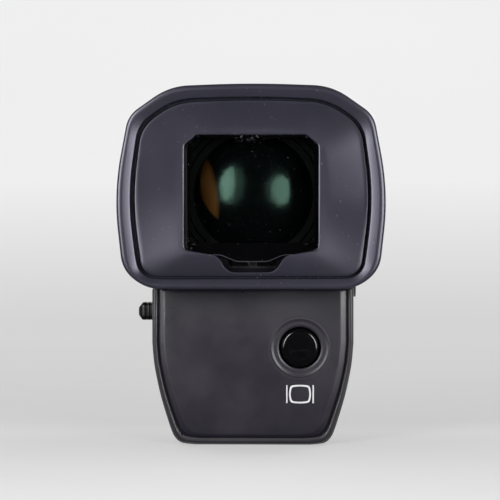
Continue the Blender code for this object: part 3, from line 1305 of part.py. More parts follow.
def optics_barrel():
    """The fixed barrel: a wide bore for the carrier, a ledge, and a nose for the field lens."""
    shoulder_y = BARREL_STEP_Y + BARREL_SHOULDER
    profile = [
        (BARREL_RADIUS, BARREL_REAR_Y),
        (BARREL_RADIUS, shoulder_y),
        (BARREL_NOSE_RADIUS, shoulder_y + BARREL_CONE),
        (BARREL_NOSE_RADIUS, BARREL_FRONT_Y),
        (BARREL_NOSE_BORE_RADIUS, BARREL_FRONT_Y),
        (BARREL_NOSE_BORE_RADIUS, FIELD_LEDGE_FRONT_Y),
        (FIELD_LEDGE_RADIUS, FIELD_LEDGE_FRONT_Y),
        (FIELD_LEDGE_RADIUS, BARREL_STEP_Y),
        (BARREL_BORE_RADIUS, BARREL_STEP_Y),
        (BARREL_BORE_RADIUS, BARREL_REAR_Y),
    ]
    barrel = on_axis("optics_barrel", profile, "black_plastic")
    margin = FOLLOWER_HOLE_RADIUS + RUN_GAP
    slot_y = (FOLLOWER_Y + FOCUS_MIN - margin, FOLLOWER_Y + FOCUS_MAX + margin)
    slot_x = (CARRIER_RADIUS - OVERRUN, BARREL_RADIUS + OVERRUN)
    slot_z = (OPTICAL_AXIS_Z - FOLLOWER_HOLE_RADIUS, OPTICAL_AXIS_Z + FOLLOWER_HOLE_RADIUS)
    return cut(barrel, box("follower_slot", slot_x, slot_y, slot_z))


def lens_carrier():
    """The sliding tube that holds the eye lens and the middle lens, with its follower pin."""
    ledge = CARRIER_BORE_RADIUS - CARRIER_LEDGE
    profile = [
        (CARRIER_RADIUS, CARRIER_REAR_Y),
        (CARRIER_RADIUS, CARRIER_FRONT_Y),
        (ledge, CARRIER_FRONT_Y),
        (ledge, CARRIER_LEDGE_Y),
        (CARRIER_BORE_RADIUS, CARRIER_LEDGE_Y),
        (CARRIER_BORE_RADIUS, CARRIER_REAR_Y),
    ]
    carrier = on_axis("lens_carrier", profile, "black_plastic")
    centre = (0, FOLLOWER_Y, OPTICAL_AXIS_Z)
    hole_x = (CARRIER_LENS_RADIUS, CARRIER_RADIUS + OVERRUN)
    cut(carrier, rod("follower_hole", FOLLOWER_HOLE_RADIUS, "X", centre, *hole_x, steps=16))
    pin_x = (FOLLOWER_START_X, FOLLOWER_END_X)
    pieces = [carrier, rod("follower_pin", FOLLOWER_RADIUS, "X", centre, *pin_x, "steel", 12)]
    radius = CARRIER_LENS_RADIUS
    ring_end = CARRIER_REAR_Y + RING_THICK
    pieces.append(ring("eye_lens_ring", radius, CARRIER_REAR_Y, ring_end, "black_plastic"))
    pieces.append(eye_lens(radius))
    spacer_end = SPACER_Y + SPACER_LENGTH
    pieces.append(ring("lens_spacer", radius, SPACER_Y, spacer_end, "black_plastic"))
    pieces.append(lens("mid_lens", radius, MID_LENS_Y, MID_LENS_EDGE, MID_LENS_BULGE))
    return pieces


def field_optics():
    radius = FIELD_LENS_RADIUS
    ring_end = FIELD_RING_Y + RING_THICK
    return [
        lens("field_lens", radius, FIELD_LENS_Y, FIELD_LENS_EDGE, FIELD_LENS_BULGE),
        ring("field_lens_ring", radius, FIELD_RING_Y, ring_end, "black_plastic"),
    ]


def dioptre_dial():
    """The knurled dial on the head's right side and its shaft through the wall."""
    outer_x = HEAD_REAR_HALF_WIDTH + DIAL_PROUD
    bevel = DIAL_TOOTH_DEPTH * 2
    sections = ((DIAL_INNER_X, 0), (outer_x - bevel, 0), (outer_x, bevel))
    loops = []
    for x, inset in sections:
        loop = []
        for step in range(DIAL_TEETH * 2):
            angle = math.pi * step / DIAL_TEETH
            radius = DIAL_RADIUS - inset - DIAL_TOOTH_DEPTH * (step % 2)
            y = DIAL_Y + radius * math.cos(angle)
            loop.append((x, y, OPTICAL_AXIS_Z + radius * math.sin(angle)))
        loops.append(loop)
    dial = loft("dioptre_dial", loops, "black_plastic")
    centre = (0, DIAL_Y, OPTICAL_AXIS_Z)
    shaft_x = (CAM_OUTER_X - CAM_BORE_DEPTH + BORE_GAP, DIAL_INNER_X + OVERRUN / 2)
    return join(dial, rod("dial_shaft", DIAL_SHAFT_RADIUS, "X", centre, *shaft_x, steps=16))


def dioptre_cam():
    """The disc on the dial's shaft; its spiral groove pushes the follower pin along the barrel."""
    centre = (0, DIAL_Y, OPTICAL_AXIS_Z)
    cam_x = (CAM_INNER_X, CAM_OUTER_X)
    cam = rod("dioptre_cam", CAM_RADIUS, "X", centre, *cam_x, "brass", ROUND_STEPS)
    half = FOLLOWER_RADIUS + BORE_GAP
    end_reach = FOLLOWER_RADIUS + RUN_GAP
    first = -math.radians(DIAL_MAX_DEG) - end_reach / (CAM_GROOVE_RADIUS + FOCUS_MAX)
    last = -math.radians(DIAL_MIN_DEG) + end_reach / (CAM_GROOVE_RADIUS + FOCUS_MIN)
    steps = ROUND_STEPS
    loops = []
    for step in range(steps + 1):
        angle = first + (last - first) * step / steps
        radius = CAM_GROOVE_RADIUS - CAM_LEAD * angle
        outward = Vector((0, math.cos(angle), math.sin(angle)))
        inner_side = Vector(centre) + outward * (radius - half)
        outer_side = Vector(centre) + outward * (radius + half)
        open_x = Vector((CAM_INNER_X - OVERRUN, 0, 0))
        floor_x = Vector((CAM_INNER_X + CAM_GROOVE_DEPTH, 0, 0))
        loops.append((inner_side + open_x, outer_side + open_x, outer_side + floor_x, inner_side + floor_x))
    bore_x = (CAM_OUTER_X - CAM_BORE_DEPTH, CAM_OUTER_X + OVERRUN)
    bore = rod("cam_bore", DIAL_SHAFT_RADIUS + BORE_GAP, "X", centre, *bore_x, steps=16)
    return cut(cam, loft("spiral_groove", loops), bore)


# Display


def centred_box(name, width, height, start, thick, colour=None, middle_z=OPTICAL_AXIS_Z):
    across = (-width / 2, width / 2)
    up = (middle_z - height / 2, middle_z + height / 2)
    return box(name, across, (start, start + thick), up, colour)


def display():
    """The display panel in its frame, the backlight behind it, and the board that drives them."""
    frame = centred_box(
        "display_frame",
        DISPLAY_FRAME_WIDTH,
        DISPLAY_FRAME_HEIGHT,
        DISPLAY_FRAME_Y,
        DISPLAY_FRAME_THICK,
        "black_plastic",
    )
    seen_width = DISPLAY_WIDTH - DISPLAY_LIP * 2
    seen_height = DISPLAY_HEIGHT - DISPLAY_LIP * 2
    start = DISPLAY_FRAME_Y - OVERRUN
    through = DISPLAY_FRAME_THICK + OVERRUN * 2
    cut(frame, centred_box("display_view", seen_width, seen_height, start, through))
    pocket_y = DISPLAY_Y - SEAT_GAP
    pocket = (DISPLAY_WIDTH + BORE_GAP * 2, DISPLAY_HEIGHT + BORE_GAP * 2)
    cut(frame, centred_box("display_pocket", *pocket, pocket_y, through))
    panel = (DISPLAY_WIDTH, DISPLAY_HEIGHT, DISPLAY_Y, DISPLAY_THICK)
    light = (DISPLAY_WIDTH + BACKLIGHT_EDGE * 2, DISPLAY_HEIGHT + BACKLIGHT_EDGE * 2)
    board = (DISPLAY_BOARD_WIDTH, DISPLAY_BOARD_HEIGHT, DISPLAY_BOARD_Y, DISPLAY_BOARD_THICK)
    connector = box(
        "display_connector",
        (RIBBON_X - CONNECTOR_WIDTH / 2, RIBBON_X + CONNECTOR_WIDTH / 2),
        (DISPLAY_CONNECTOR_Y, DISPLAY_CONNECTOR_Y + CONNECTOR_THICK),
        (DISPLAY_CONNECTOR_Z - CONNECTOR_HEIGHT / 2, DISPLAY_CONNECTOR_Z + CONNECTOR_HEIGHT / 2),
        "white_plastic",
    )
    return [
        frame,
        centred_box("display_panel", *panel, "display"),
        centred_box("backlight", *light, BACKLIGHT_Y, BACKLIGHT_THICK, "white_plastic"),
        centred_box("display_board", *board, "board_green"),
        connector,
    ]


def base():
    base_housing()
    base_top_cover()
    rear_panel()
    shoe_foot()
    foot_screws()
    main_board()
    monitor_button()
    accessory_plug()
    lock_slider()
    lock_spring(lock_pin())
    flex_cable()
    hinge()


def head():
    pivot = axis_empty("head_tilt_axis", (0, HINGE_Y, HINGE_Z))
    head_covers(pivot)
    hinge_point = (0, HINGE_Y, HINGE_Z)
    glass_y = (GLASS_REAR_Y, GLASS_REAR_Y + GLASS_THICK)
    fixed = [
        eyecup(),
        eyepiece_frame(),
        prism("window_glass", glass_outline(0), "Y", *glass_y, "glass"),
        optics_barrel(),
        *eye_sensor(),
        *field_optics(),
        *display(),
    ]
    for obj in fixed:
        seat_on_axis(obj, hinge_point, pivot)
    for obj in lens_carrier():
        seat_on_axis(obj, (0, CARRIER_REAR_Y, OPTICAL_AXIS_Z), pivot)
    for obj in (dioptre_dial(), dioptre_cam()):
        seat_on_axis(obj, (DIAL_INNER_X, DIAL_Y, OPTICAL_AXIS_Z), pivot)


clear_scene()
base()
head()
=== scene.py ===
from math import atan, atan2, cos, pi, radians, sin, sqrt, tan, tau

import bmesh
import bpy
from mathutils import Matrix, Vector


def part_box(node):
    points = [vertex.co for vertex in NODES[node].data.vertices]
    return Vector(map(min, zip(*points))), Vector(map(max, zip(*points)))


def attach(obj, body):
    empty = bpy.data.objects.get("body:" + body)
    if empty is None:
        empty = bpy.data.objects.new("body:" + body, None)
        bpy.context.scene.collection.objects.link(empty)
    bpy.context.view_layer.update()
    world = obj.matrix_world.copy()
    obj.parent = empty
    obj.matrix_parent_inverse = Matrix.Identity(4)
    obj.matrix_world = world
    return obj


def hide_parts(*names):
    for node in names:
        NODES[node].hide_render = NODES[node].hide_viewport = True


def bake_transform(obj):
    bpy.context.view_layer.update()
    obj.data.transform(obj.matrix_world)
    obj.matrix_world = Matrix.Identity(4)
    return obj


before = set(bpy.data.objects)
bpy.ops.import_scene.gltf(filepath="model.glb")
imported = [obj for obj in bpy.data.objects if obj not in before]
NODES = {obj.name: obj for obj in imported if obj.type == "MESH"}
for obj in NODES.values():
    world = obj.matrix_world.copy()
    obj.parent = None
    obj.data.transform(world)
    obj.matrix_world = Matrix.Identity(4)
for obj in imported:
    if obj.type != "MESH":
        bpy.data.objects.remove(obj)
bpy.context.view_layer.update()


def formula(operation, swapped=False):
    """One sum of node values, for use as a Python operator."""
    def apply(self, other):
        first, second = (other, self) if swapped else (self, other)
        return self.nodes.maths(operation, first, second)

    return apply


class Value:
    """A node's socket that takes part in sums, so that a pattern reads as one formula."""

    __add__ = __radd__ = formula("ADD")
    __mul__ = __rmul__ = formula("MULTIPLY")
    __sub__ = formula("SUBTRACT")
    __rsub__ = formula("SUBTRACT", swapped=True)
    __gt__ = formula("GREATER_THAN")
    __lt__ = formula("LESS_THAN")

    def __init__(self, nodes, socket):
        self.nodes = nodes
        self.socket = socket

    def between(self, low, high, start=0.0, end=1.0):
        """This value mapped from low..high to start..end, and held at both ends."""
        inputs = {"Value": self, "From Min": low, "From Max": high, "To Min": start, "To Max": end}
        return self.nodes.node("ShaderNodeMapRange", inputs, {"clamp": True})


class Nodes:
    """A node tree that starts empty, and the ways to add to it."""

    def __init__(self, tree):
        self.tree = tree
        tree.nodes.clear()

    def feed(self, socket, value):
        if isinstance(value, Value):
            self.tree.links.new(value.socket, socket)
        else:
            socket.default_value = value

    def node(self, kind, inputs=None, settings=None, output=0):
        """Any node, with values or links for its sockets, and its settings."""
        made = self.tree.nodes.new(kind)
        for name, value in (settings or {}).items():
            setattr(made, name, value)
        for name, value in (inputs or {}).items():
            self.feed(made.inputs[name], value)
        return Value(self, made.outputs[output] if made.outputs else None)

    def maths(self, operation, first, second=0.0):
        return self.node("ShaderNodeMath", {0: first, 1: second}, {"operation": operation})

    def size_of(self, value):
        return self.maths("ABSOLUTE", value)

    def larger(self, first, second):
        return self.maths("MAXIMUM", first, second)

    def parts(self, vector):
        """A vector's three numbers."""
        split = self.tree.nodes.new("ShaderNodeSeparateXYZ")
        self.feed(split.inputs[0], vector)
        return [Value(self, socket) for socket in split.outputs]

    def ray(self, kind):
        """1 for one kind of ray and 0 for the others."""
        return self.node("ShaderNodeLightPath", output=f"Is {kind} Ray")


class Finish(Nodes):
    """One material: its nodes, and the patterns that feed its main shader."""

    def __init__(self, name):
        self.material = bpy.data.materials.new(name)
        self.material.use_nodes = True
        super().__init__(self.material.node_tree)
        self.output = self.tree.nodes.new("ShaderNodeOutputMaterial")
        self.main = self.tree.nodes.new("ShaderNodeBsdfPrincipled")
        self.body = Value(self, self.main.outputs[0])
        self.feed(self.output.inputs["Surface"], self.body)

    def set(self, **values):
        """Sets or links sockets of the main shader, named with underscores for spaces."""
        for name, value in values.items():
            self.feed(self.main.inputs[name.replace("_", " ")], value)
        return self

    def done(self, colour, roughness, normal, **others):
        """The material, once its main shader has all that it needs."""
        return self.set(Base_Color=colour, Roughness=roughness, Normal=normal, **others).material

    def show(self, share, first, second):
        """Shows two shaders in place of the main one, the second by its share."""
        shown = self.node("ShaderNodeMixShader", {0: share, 1: first, 2: second})
        self.feed(self.output.inputs["Surface"], shown)
        return self.material

    def place(self):
        return self.node("ShaderNodeTexCoord", output="Object")

    def stretched(self, scale):
        """The place on the object, scaled by its own factor along each axis."""
        return self.node("ShaderNodeMapping", {"Vector": self.place(), "Scale": scale})

    def noise(self, scale, detail=2.0, roughness=0.5, place=None):
        inputs = {"Vector": place or self.place(), "Scale": scale, "Detail": detail}
        return self.node("ShaderNodeTexNoise", inputs | {"Roughness": roughness})

    def mixed(self, factor, first, second):
        """A colour between two."""
        inputs = {0: factor, 6: first, 7: second}
        return self.node("ShaderNodeMix", inputs, {"data_type": "RGBA"}, 2)

    def toned(self, colour, pattern, dark, light, *layers):
        """One colour, shaded by a pattern between two factors, and by a factor under each mask."""
        base = self.mixed(pattern, shade(colour, dark), shade(colour, light))
        for mask, factor in layers:
            base = self.mixed(mask, base, shade(colour, factor))
        return base

    def bump(self, height, distance, strength, under=None):
        inputs = {"Height": height, "Distance": distance, "Strength": strength}
        return self.node("ShaderNodeBump", inputs | ({"Normal": under} if under else {}))

    def soft_edges(self, radius):
        """The surface's direction with its edges rounded by a radius."""
        return self.node("ShaderNodeBevel", {"Radius": radius}, {"samples": 6})

    def edge_mask(self, soft):
        """How much a rounded edge turns away from the flat face: 0 on faces, more on edges."""
        flat = self.node("ShaderNodeNewGeometry", output="Normal")
        settings = {"operation": "DOT_PRODUCT"}
        facing = self.node("ShaderNodeVectorMath", {0: soft, 1: flat}, settings, "Value")
        return (1 - facing).between(0.0, 0.25)


def shade(colour, factor):
    """A colour made lighter or darker by a factor."""
    return (*[min(1.0, part * factor) for part in colour[:3]], 1)


def moulded(name, colour, roughness, grain=1.0, edge=0.00012):
    """Spark-eroded moulded plastic: a fine even grain, faint handling marks, paler edges."""
    finish = Finish(name)
    fine = finish.noise(5200, 3.0, 0.6)
    pits = finish.noise(2300, 1.0, 0.4)
    marks = finish.noise(130, 4.0, 0.62)
    soft = finish.soft_edges(edge)
    worn = finish.edge_mask(soft) * marks.between(0.35, 0.65, 0.3, 1.0)
    grainy = fine * 0.6 + pits * 0.4
    layers = (grainy.between(0.35, 0.65) * 0.22, 1.35), (worn * 0.35, 2.1)
    base = finish.toned(colour, marks.between(0.3, 0.7), 0.90, 1.10, *layers)
    rough = marks.between(0.3, 0.72, roughness - 0.05, roughness + 0.07) - worn * 0.08
    normal = finish.bump(grainy, 0.00002 * grain, 0.45, soft)
    return finish.done(base, rough, normal)


def rubber(name, colour):
    """Soft moulded rubber: satin, with a very fine grain, faint mould flow and a little dust."""
    finish = Finish(name)
    fine = finish.noise(4200, 4.0, 0.65)
    flow = finish.noise(90, 3.0, 0.55, finish.stretched((1.0, 1.0, 0.45)))
    dust = finish.noise(1900, 2.0, 0.5)
    specks = (dust > 0.715) * flow.between(0.48, 0.62)
    layers = (fine.between(0.4, 0.6) * 0.10, 1.4), (specks * 0.2, 4.0)
    base = finish.toned(colour, flow.between(0.32, 0.68), 0.93, 1.07, *layers)
    rough = flow.between(0.3, 0.7, 0.22, 0.27) + specks * 0.2
    finish.set(IOR=1.57, Specular_Tint=(0.86, 0.84, 1.0, 1))
    return finish.done(base, rough, finish.bump(fine, 0.000006, 0.3))


def polished(name, colour, roughness, coat=0.0):
    """Smooth gloss: barely visible polishing marks and a few fine dust specks."""
    finish = Finish(name)
    marks = finish.noise(420, 5.0, 0.6, finish.stretched((1.0, 0.35, 1.0)))
    specks = finish.noise(5200, 1.0, 0.5) > 0.77
    base = finish.toned(colour, marks.between(0.35, 0.65), 0.92, 1.08, (specks * 0.2, 3.0))
    rough = marks.between(0.35, 0.7, roughness, roughness + 0.05) + specks * 0.1
    return finish.done(base, rough, finish.soft_edges(0.00008), Coat_Weight=coat)


def machined(name, colour, along, roughness=0.28):
    """Metal with fine parallel cutting marks along one direction, rubbed brighter on its edges."""
    finish = Finish(name)
    lines = finish.noise(3600, 4.0, 0.7, finish.stretched(along))
    cloud = finish.noise(160, 3.0, 0.5)
    soft = finish.soft_edges(0.0001)
    layers = (cloud.between(0.3, 0.7) * 0.25, 0.7), (finish.edge_mask(soft) * 0.5, 1.5)
    base = finish.toned(colour, lines.between(0.3, 0.7), 0.82, 1.12, *layers)
    rough = lines.between(0.3, 0.7, roughness - 0.06, roughness + 0.1) + cloud * 0.05
    normal = finish.bump(lines, 0.000008, 0.5, soft)
    return finish.done(base, rough, normal, Metallic=1.0)


def light_trap(name, dark, light):
    """The matt black paint inside an eyepiece, which takes up stray light."""
    finish = Finish(name)
    flock = finish.noise(3800, 3.0, 0.7)
    base = finish.mixed(flock, (*dark, 1), (*light, 1))
    rough = flock.between(0.3, 0.7, 0.75, 0.9)
    return finish.done(base, rough, finish.bump(flock, 0.00004, 0.8), Specular_IOR_Level=0.15)


def circuit_board(name, colour, bare_pads=True):
    """Solder mask over copper tracks, with small plated pads where some are bare."""
    finish = Finish(name)
    waves = {"Vector": finish.place(), "Scale": 420.0, "Distortion": 6.0}
    waves |= {"Detail": 0.0, "Detail Scale": 0.4}
    tracks = finish.node("ShaderNodeTexWave", waves, {"bands_direction": "Z"}, "Fac")
    height = tracks = tracks.between(0.72, 0.80)
    cloud = finish.noise(300, 2.0).between
    base = finish.toned(colour, cloud(0.3, 0.7), 0.85, 1.15, (tracks * 0.6, 2.0))
    rough = cloud(0.3, 0.7, 0.38, 0.46)
    if bare_pads:
        cells = {"Vector": finish.place(), "Scale": 900.0, "Randomness": 0.35}
        pads = finish.node("ShaderNodeTexVoronoi", cells, {"distance": "CHEBYCHEV"})
        pads = 1 - pads.between(0.16, 0.19)
        base = finish.mixed(pads, base, (0.62, 0.50, 0.26, 1))
        rough = rough - pads * 0.14
        height = tracks + pads * 0.6
        finish.set(Metallic=pads * 0.9)
    normal = finish.bump(height, 0.00003, 0.6)
    return finish.done(base, rough, normal)


def flat_cable(name):
    """Amber polyimide over parallel copper conductors."""
    finish = Finish(name)
    waves = {"Vector": finish.stretched((1, 0.0, 0.0)), "Scale": 780.0, "Distortion": 0.0}
    strips = finish.node("ShaderNodeTexWave", waves, {"bands_direction": "X"}, "Fac")
    strips = strips.between(0.42, 0.58)
    cloud = finish.noise(500, 3.0).between
    base = finish.mixed(strips, (0.42, 0.17, 0.035, 1), (0.62, 0.30, 0.09, 1))
    base = finish.mixed(cloud(0.3, 0.7) * 0.3, base, (0.30, 0.11, 0.02, 1))
    finish.set(Coat_Weight=0.3, Coat_Roughness=0.12)
    return finish.done(base, cloud(0.3, 0.7, 0.25, 0.36), finish.bump(strips, 0.00001, 0.5))


def painted_amber_reflection(finish):
    """A painted reflection: an amber crescent near the lens's rim, where two discs overlap."""
    x, _, z = finish.parts(finish.place())

    def inside(centre_x, centre_z, radius, soft):
        across, up = x - centre_x, z - centre_z
        distance = finish.maths("SQRT", across * across + up * up)
        return distance.between(radius - soft, radius, 1.0, 0.0)

    return inside(-0.00096, 0.02305, 0.00644, 0.0004) * inside(-0.0187, 0.0197, 0.01425, 0.0006)


def coated_glass(name, tint, depth_colour, roughness=0.05, amber=None):
    """A lens over a dark barrel: near black in itself, with the tinted glint of its coating, and where an
    amber colour is given a painted amber reflection near its rim.
    """
    finish = Finish(name)
    haze = finish.noise(260, 4.0, 0.6).between
    specks = finish.noise(2600, 1.0, 0.5) > 0.75
    base = finish.toned(depth_colour, haze(0.35, 0.65), 1.0, 1.6)
    if amber:
        # painted reflection: an amber crescent painted into the glass's colour near its rim
        base = finish.mixed(painted_amber_reflection(finish) * haze(0.3, 0.7, 0.75, 1.0), base, amber)
    base = finish.mixed(specks * 0.1, base, (0.2, 0.22, 0.22, 1))
    rough = haze(0.3, 0.7, roughness, roughness + 0.03)
    return finish.set(Base_Color=base, Roughness=rough, IOR=1.5, Specular_Tint=tint).material


def clear_window(name):
    """The pane: clear in the middle, black print all round, a faint gloss and fine dust."""
    finish = Finish(name)
    centre_z, half_wide, half_tall, top_z = 0.0218, 0.0083, 0.0070, 0.0276
    x, _, z = finish.parts(finish.place())
    across, up = finish.size_of(x), finish.size_of(z - centre_z)
    border = finish.larger(across - half_wide, up - half_tall) > 0
    specks = finish.noise(2400, 2.0, 0.5) > 0.735
    smear = finish.noise(180, 3.0, 0.6).between(0.45, 0.75)
    black_print = finish.mixed(smear, (0.0022, 0.0022, 0.0026, 1), (0.0034, 0.0034, 0.0040, 1))
    near_corner = (across - 0.0068).between(0.0, 0.0018) * (up - 0.0055).between(0.0, 0.0018)
    near_top = (z - top_z).between(0.0, 0.0012) * (0.0030 - across).between(0.0, 0.0016)
    dust = finish.larger(near_corner, near_top) * (finish.noise(1900, 5.0, 0.7) > 0.60)
    base = finish.mixed(finish.larger(specks * 0.3, dust * 0.5), black_print, (0.30, 0.30, 0.32, 1))
    _, facing, _ = finish.parts(finish.node("ShaderNodeNewGeometry", output="True Normal"))
    ground = finish.size_of(facing) < 0.97
    base = finish.mixed(ground, base, (0.09, 0.09, 0.11, 1))
    finish.set(Base_Color=base, Roughness=smear.between(0.0, 1.0, 0.03, 0.10), IOR=1.45)
    fresnel = finish.node("ShaderNodeFresnel", {"IOR": 1.18})
    clear = finish.node("ShaderNodeBsdfTransparent", {"Color": (0.95, 0.98, 0.97, 1)})
    share = finish.larger(border, fresnel * 0.8 + specks * 0.15 + dust * 0.4)
    return finish.show(share, clear, finish.body)


def printed(name, colour):
    """Silk-screened ink: almost flat white with a slightly uneven edge of coverage."""
    finish = Finish(name)
    ink = finish.noise(2600, 4.0, 0.7)
    base = finish.toned(colour, ink.between(0.3, 0.7), 0.88, 1.0)
    return finish.done(base, ink.between(0.3, 0.7, 0.45, 0.6), finish.bump(ink, 0.00001, 0.4))


def dress(material, *nodes):
    """Gives a material to the frame's pieces that show it. New pieces find theirs by its name."""
    for node in nodes:
        mesh = NODES[node].data
        mesh.materials.clear()
        mesh.materials.append(material)


dress(moulded("housing_moulding", (0.034, 0.033, 0.038), 0.40),
      "base_housing", "base_top_cover", "head_top_cover", "head_bottom_cover")
dress(moulded("panel_moulding", (0.0184, 0.0161, 0.0248), 0.31, 0.8, 0.0001))
# painted shade: the rim is the housing's own plastic, given here a darker colour than the housing's
dress(moulded("rim_moulding", (0.0164, 0.0142, 0.0192), 0.32, 0.8, 0.0001))
dress(rubber("eyecup_rubber", (0.0262, 0.0256, 0.0372)))
dress(light_trap("light_trap_black", (0.0007, 0.0007, 0.0008), (0.0016, 0.0016, 0.0018)),
      "optics_barrel", "lens_carrier", "lens_spacer", "eye_lens_ring", "field_lens_ring")
dress(light_trap("frame_paint", (0.0030, 0.0028, 0.0055), (0.0046, 0.0042, 0.0078)), "eyepiece_frame")
dress(moulded("control_moulding", (0.012, 0.012, 0.013), 0.34, 1.2), "dioptre_dial", "display_frame")
dress(moulded("knob_moulding", (0.0042, 0.0042, 0.0045), 0.33, 1.2))
dress(polished("button_gloss", (0.0035, 0.0035, 0.0042), 0.08, 0.6), "sensor_emitter", "sensor_detector")
dress(machined("turned_steel", (0.56, 0.57, 0.58), (0.05, 1.0, 1.0)),
      "foot_screw_1", "foot_screw_2", "foot_screw_3", "foot_screw_4", "lock_pin", "hinge_pin")
dress(machined("rolled_steel", (0.50, 0.51, 0.53), (1.0, 0.05, 1.0), 0.22),
      "tact_switch", "follower_pin", "plug_shell")
dress(machined("foot_plating", (0.42, 0.42, 0.43), (1.0, 0.05, 1.0), 0.30), "shoe_foot")
dress(machined("turned_brass", (0.66, 0.47, 0.19), (0.05, 1.0, 1.0), 0.3),
      "friction_washer", "dioptre_cam")
dress(machined("plated_contacts", (0.72, 0.55, 0.24), (1.0, 0.1, 1.0), 0.2), "plug_tongue")
dress(circuit_board("solder_mask", (0.018, 0.10, 0.05)), "main_board", "display_board")
dress(circuit_board("dark_solder_mask", (0.006, 0.006, 0.011), False), "sensor_board")
dress(moulded("chip_epoxy", (0.016, 0.016, 0.017), 0.55, 1.6), "driver_chip")
dress(moulded("connector_resin", (0.62, 0.61, 0.56), 0.45),
      "main_connector", "display_connector", "switch_plunger")
dress(flat_cable("flex_polyimide"))
# the last colour is that of the painted amber reflection on the eye lens
dress(coated_glass("coated_lens", (0.24, 0.41, 0.335, 1), (0.0012, 0.0014, 0.0016, 1), 0.13,
                   (0.085, 0.034, 0.0085, 1)))
dress(coated_glass("inner_lens", (0.50, 0.70, 0.86, 1), (0.0012, 0.0014, 0.0018, 1)),
      "mid_lens", "field_lens")
dress(clear_window("window_glass_clear"))
dress(printed("white_print", (0.82, 0.82, 0.84, 1)))
dress(polished("display_face", (0.004, 0.005, 0.008), 0.06), "display_panel")
dress(moulded("light_guide", (0.55, 0.56, 0.58), 0.3, 0.6), "backlight")


def rounded(corners, fillets, arc_steps):
    """An outline with a curve at each corner that starts one fillet from it."""
    corners = [Vector(corner) for corner in corners]
    outline = []
    for index, corner in enumerate(corners):
        before = corners[index - 1] - corner
        after = corners[(index + 1) % len(corners)] - corner
        fillet = min(fillets[index], before.length * 0.49, after.length * 0.49)
        start = corner + before.normalized() * fillet
        end = corner + after.normalized() * fillet
        for step in range(arc_steps + 1):
            t = step / arc_steps
            outline.append(start * (1 - t) ** 2 + corner * (2 * t * (1 - t)) + end * t**2)
    return outline


SQUARE = ((-1, -1), (1, -1), (1, 1), (-1, 1))


def quarter(steps, start=0.0):
    """The angles of an arc from a start up to a quarter turn, with both ends."""
    return [start + (pi / 2 - start) * step / steps for step in range(steps + 1)]


def bowed(corners, fillets, bows):
    """Adds a wide corner in the middle of each side that swells outward, for a smooth bow."""
    corners = [Vector(corner) for corner in corners]
    places, rounds = [], []
    for index, corner in enumerate(corners):
        side = corners[(index + 1) % len(corners)] - corner
        places.append(corner)
        rounds.append(fillets[index])
        if bows[index] > 0:
            outward = Vector((side.y, -side.x)).normalized()
            places.append(corner + side / 2 + outward * bows[index] * 1.34)
            rounds.append(side.length)
    return places, rounds


def directions(steps, outline):
    """Evenly spread angles from +X, and that of every corner of an outline."""
    angles = {round(tau * step / steps, 6) for step in range(steps)}
    return sorted(angles | {round(atan2(z, x) % tau, 6) for x, z in outline})


def reach(outline, angles):
    """How far an outline lies from its centre in each direction."""
    distances = []
    for angle in angles:
        along = Vector((cos(angle), sin(angle)))
        far = 0
        for a, b in zip(outline, outline[1:] + outline[:1]):
            side = b - a
            cross = along.x * side.y - along.y * side.x
            if abs(cross) < 1e-15:
                continue
            distance = (a.x * side.y - a.y * side.x) / cross
            share = (a.x * along.y - a.y * along.x) / cross
            if -1e-6 <= share <= 1 + 1e-6:
                far = max(far, distance)
        distances.append(far)
    return distances


def soften(piece, width):
    """A small rounding on a piece's crisp edges."""
    bevel = piece.modifiers.new("edges", "BEVEL")
    bevel.width = width
    bevel.segments = 2
    bevel.limit_method = "ANGLE"
    bevel.angle_limit = radians(38)
    bevel.harden_normals = True


def placed(name, data):
    """A new object in the scene."""
    obj = bpy.data.objects.new(name, data)
    bpy.context.scene.collection.objects.link(obj)
    return obj


def new_mesh(name, verts, faces, material, smooth=True):
    mesh = bpy.data.meshes.new(name)
    mesh.from_pydata([tuple(point) for point in verts], [], faces)
    mesh.polygons.foreach_set("use_smooth", [smooth] * len(mesh.polygons))
    mesh.materials.append(material)
    return mesh


def mesh_piece(name, verts, faces, body, look, slot, smooth=True):
    """A new piece from points and faces, riding on a body, or on none when no body is given."""
    mesh = new_mesh(name, verts, faces, bpy.data.materials[look], smooth)
    mesh.validate()
    work = bmesh.new()
    work.from_mesh(mesh)
    bmesh.ops.remove_doubles(work, verts=work.verts, dist=1e-8)
    bmesh.ops.recalc_face_normals(work, faces=work.faces)
    work.to_mesh(mesh)
    work.free()
    obj = placed(name, mesh)
    if body:
        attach(obj, body)
    return obj


def surface(rings, closed=False):
    """Points and faces of a skin over rings. Closed joins the last ring to the first."""
    verts = [point for ring in rings for point in ring]
    count = len(rings[0])
    faces = []
    for row in range(len(rings) if closed else len(rings) - 1):
        near, far = row * count, (row + 1) % len(rings) * count
        for step in range(count):
            following = (step + 1) % count
            faces.append((near + step, near + following, far + following, far + step))
    if not closed:
        faces.append(tuple(range(count - 1, -1, -1)))
        faces.append(tuple(range(len(verts) - count, len(verts))))
    return verts, faces


def joined(solids):
    """The points and faces of several solids as one."""
    verts, faces = [], []
    for points, loops in solids:
        faces += [tuple(len(verts) + corner for corner in loop) for loop in loops]
        verts += points
    return verts, faces


def ringed(name, rings, body, look, slot, closed=False):
    return mesh_piece(name, *surface(rings, closed), body, look, slot)


# Eyecup. Every length is in metres. Its rings run round one centre, and its outlines lie a little higher.
# The shares are of a half width and a half height, at the corners of the right half, the lowest first.
CUP_CENTRE_Z, CUP_RISE = 0.0215, 0.0008038
LIP_SIDE, LIP_TOP = 0.0166, 0.0130962
INNER_SIDE, INNER_TOP = 0.0144, 0.0111962
LIP_WIDTH = 0.0022
LIP_SHARES = ((0.822, -1.038), (1.018, -0.850), (0.973, 0.707), (0.645, 1.000))
INNER_SHARES = ((0.917, -1.072), (1.014, -0.974), (1.012, 0.700), (0.705, 0.990))
LIP_FILLETS = (0.0022, 0.0042, 0.0016, 0.0026)
INNER_FILLETS = (0.00115, 0.00115, 0.0021, 0.0028)
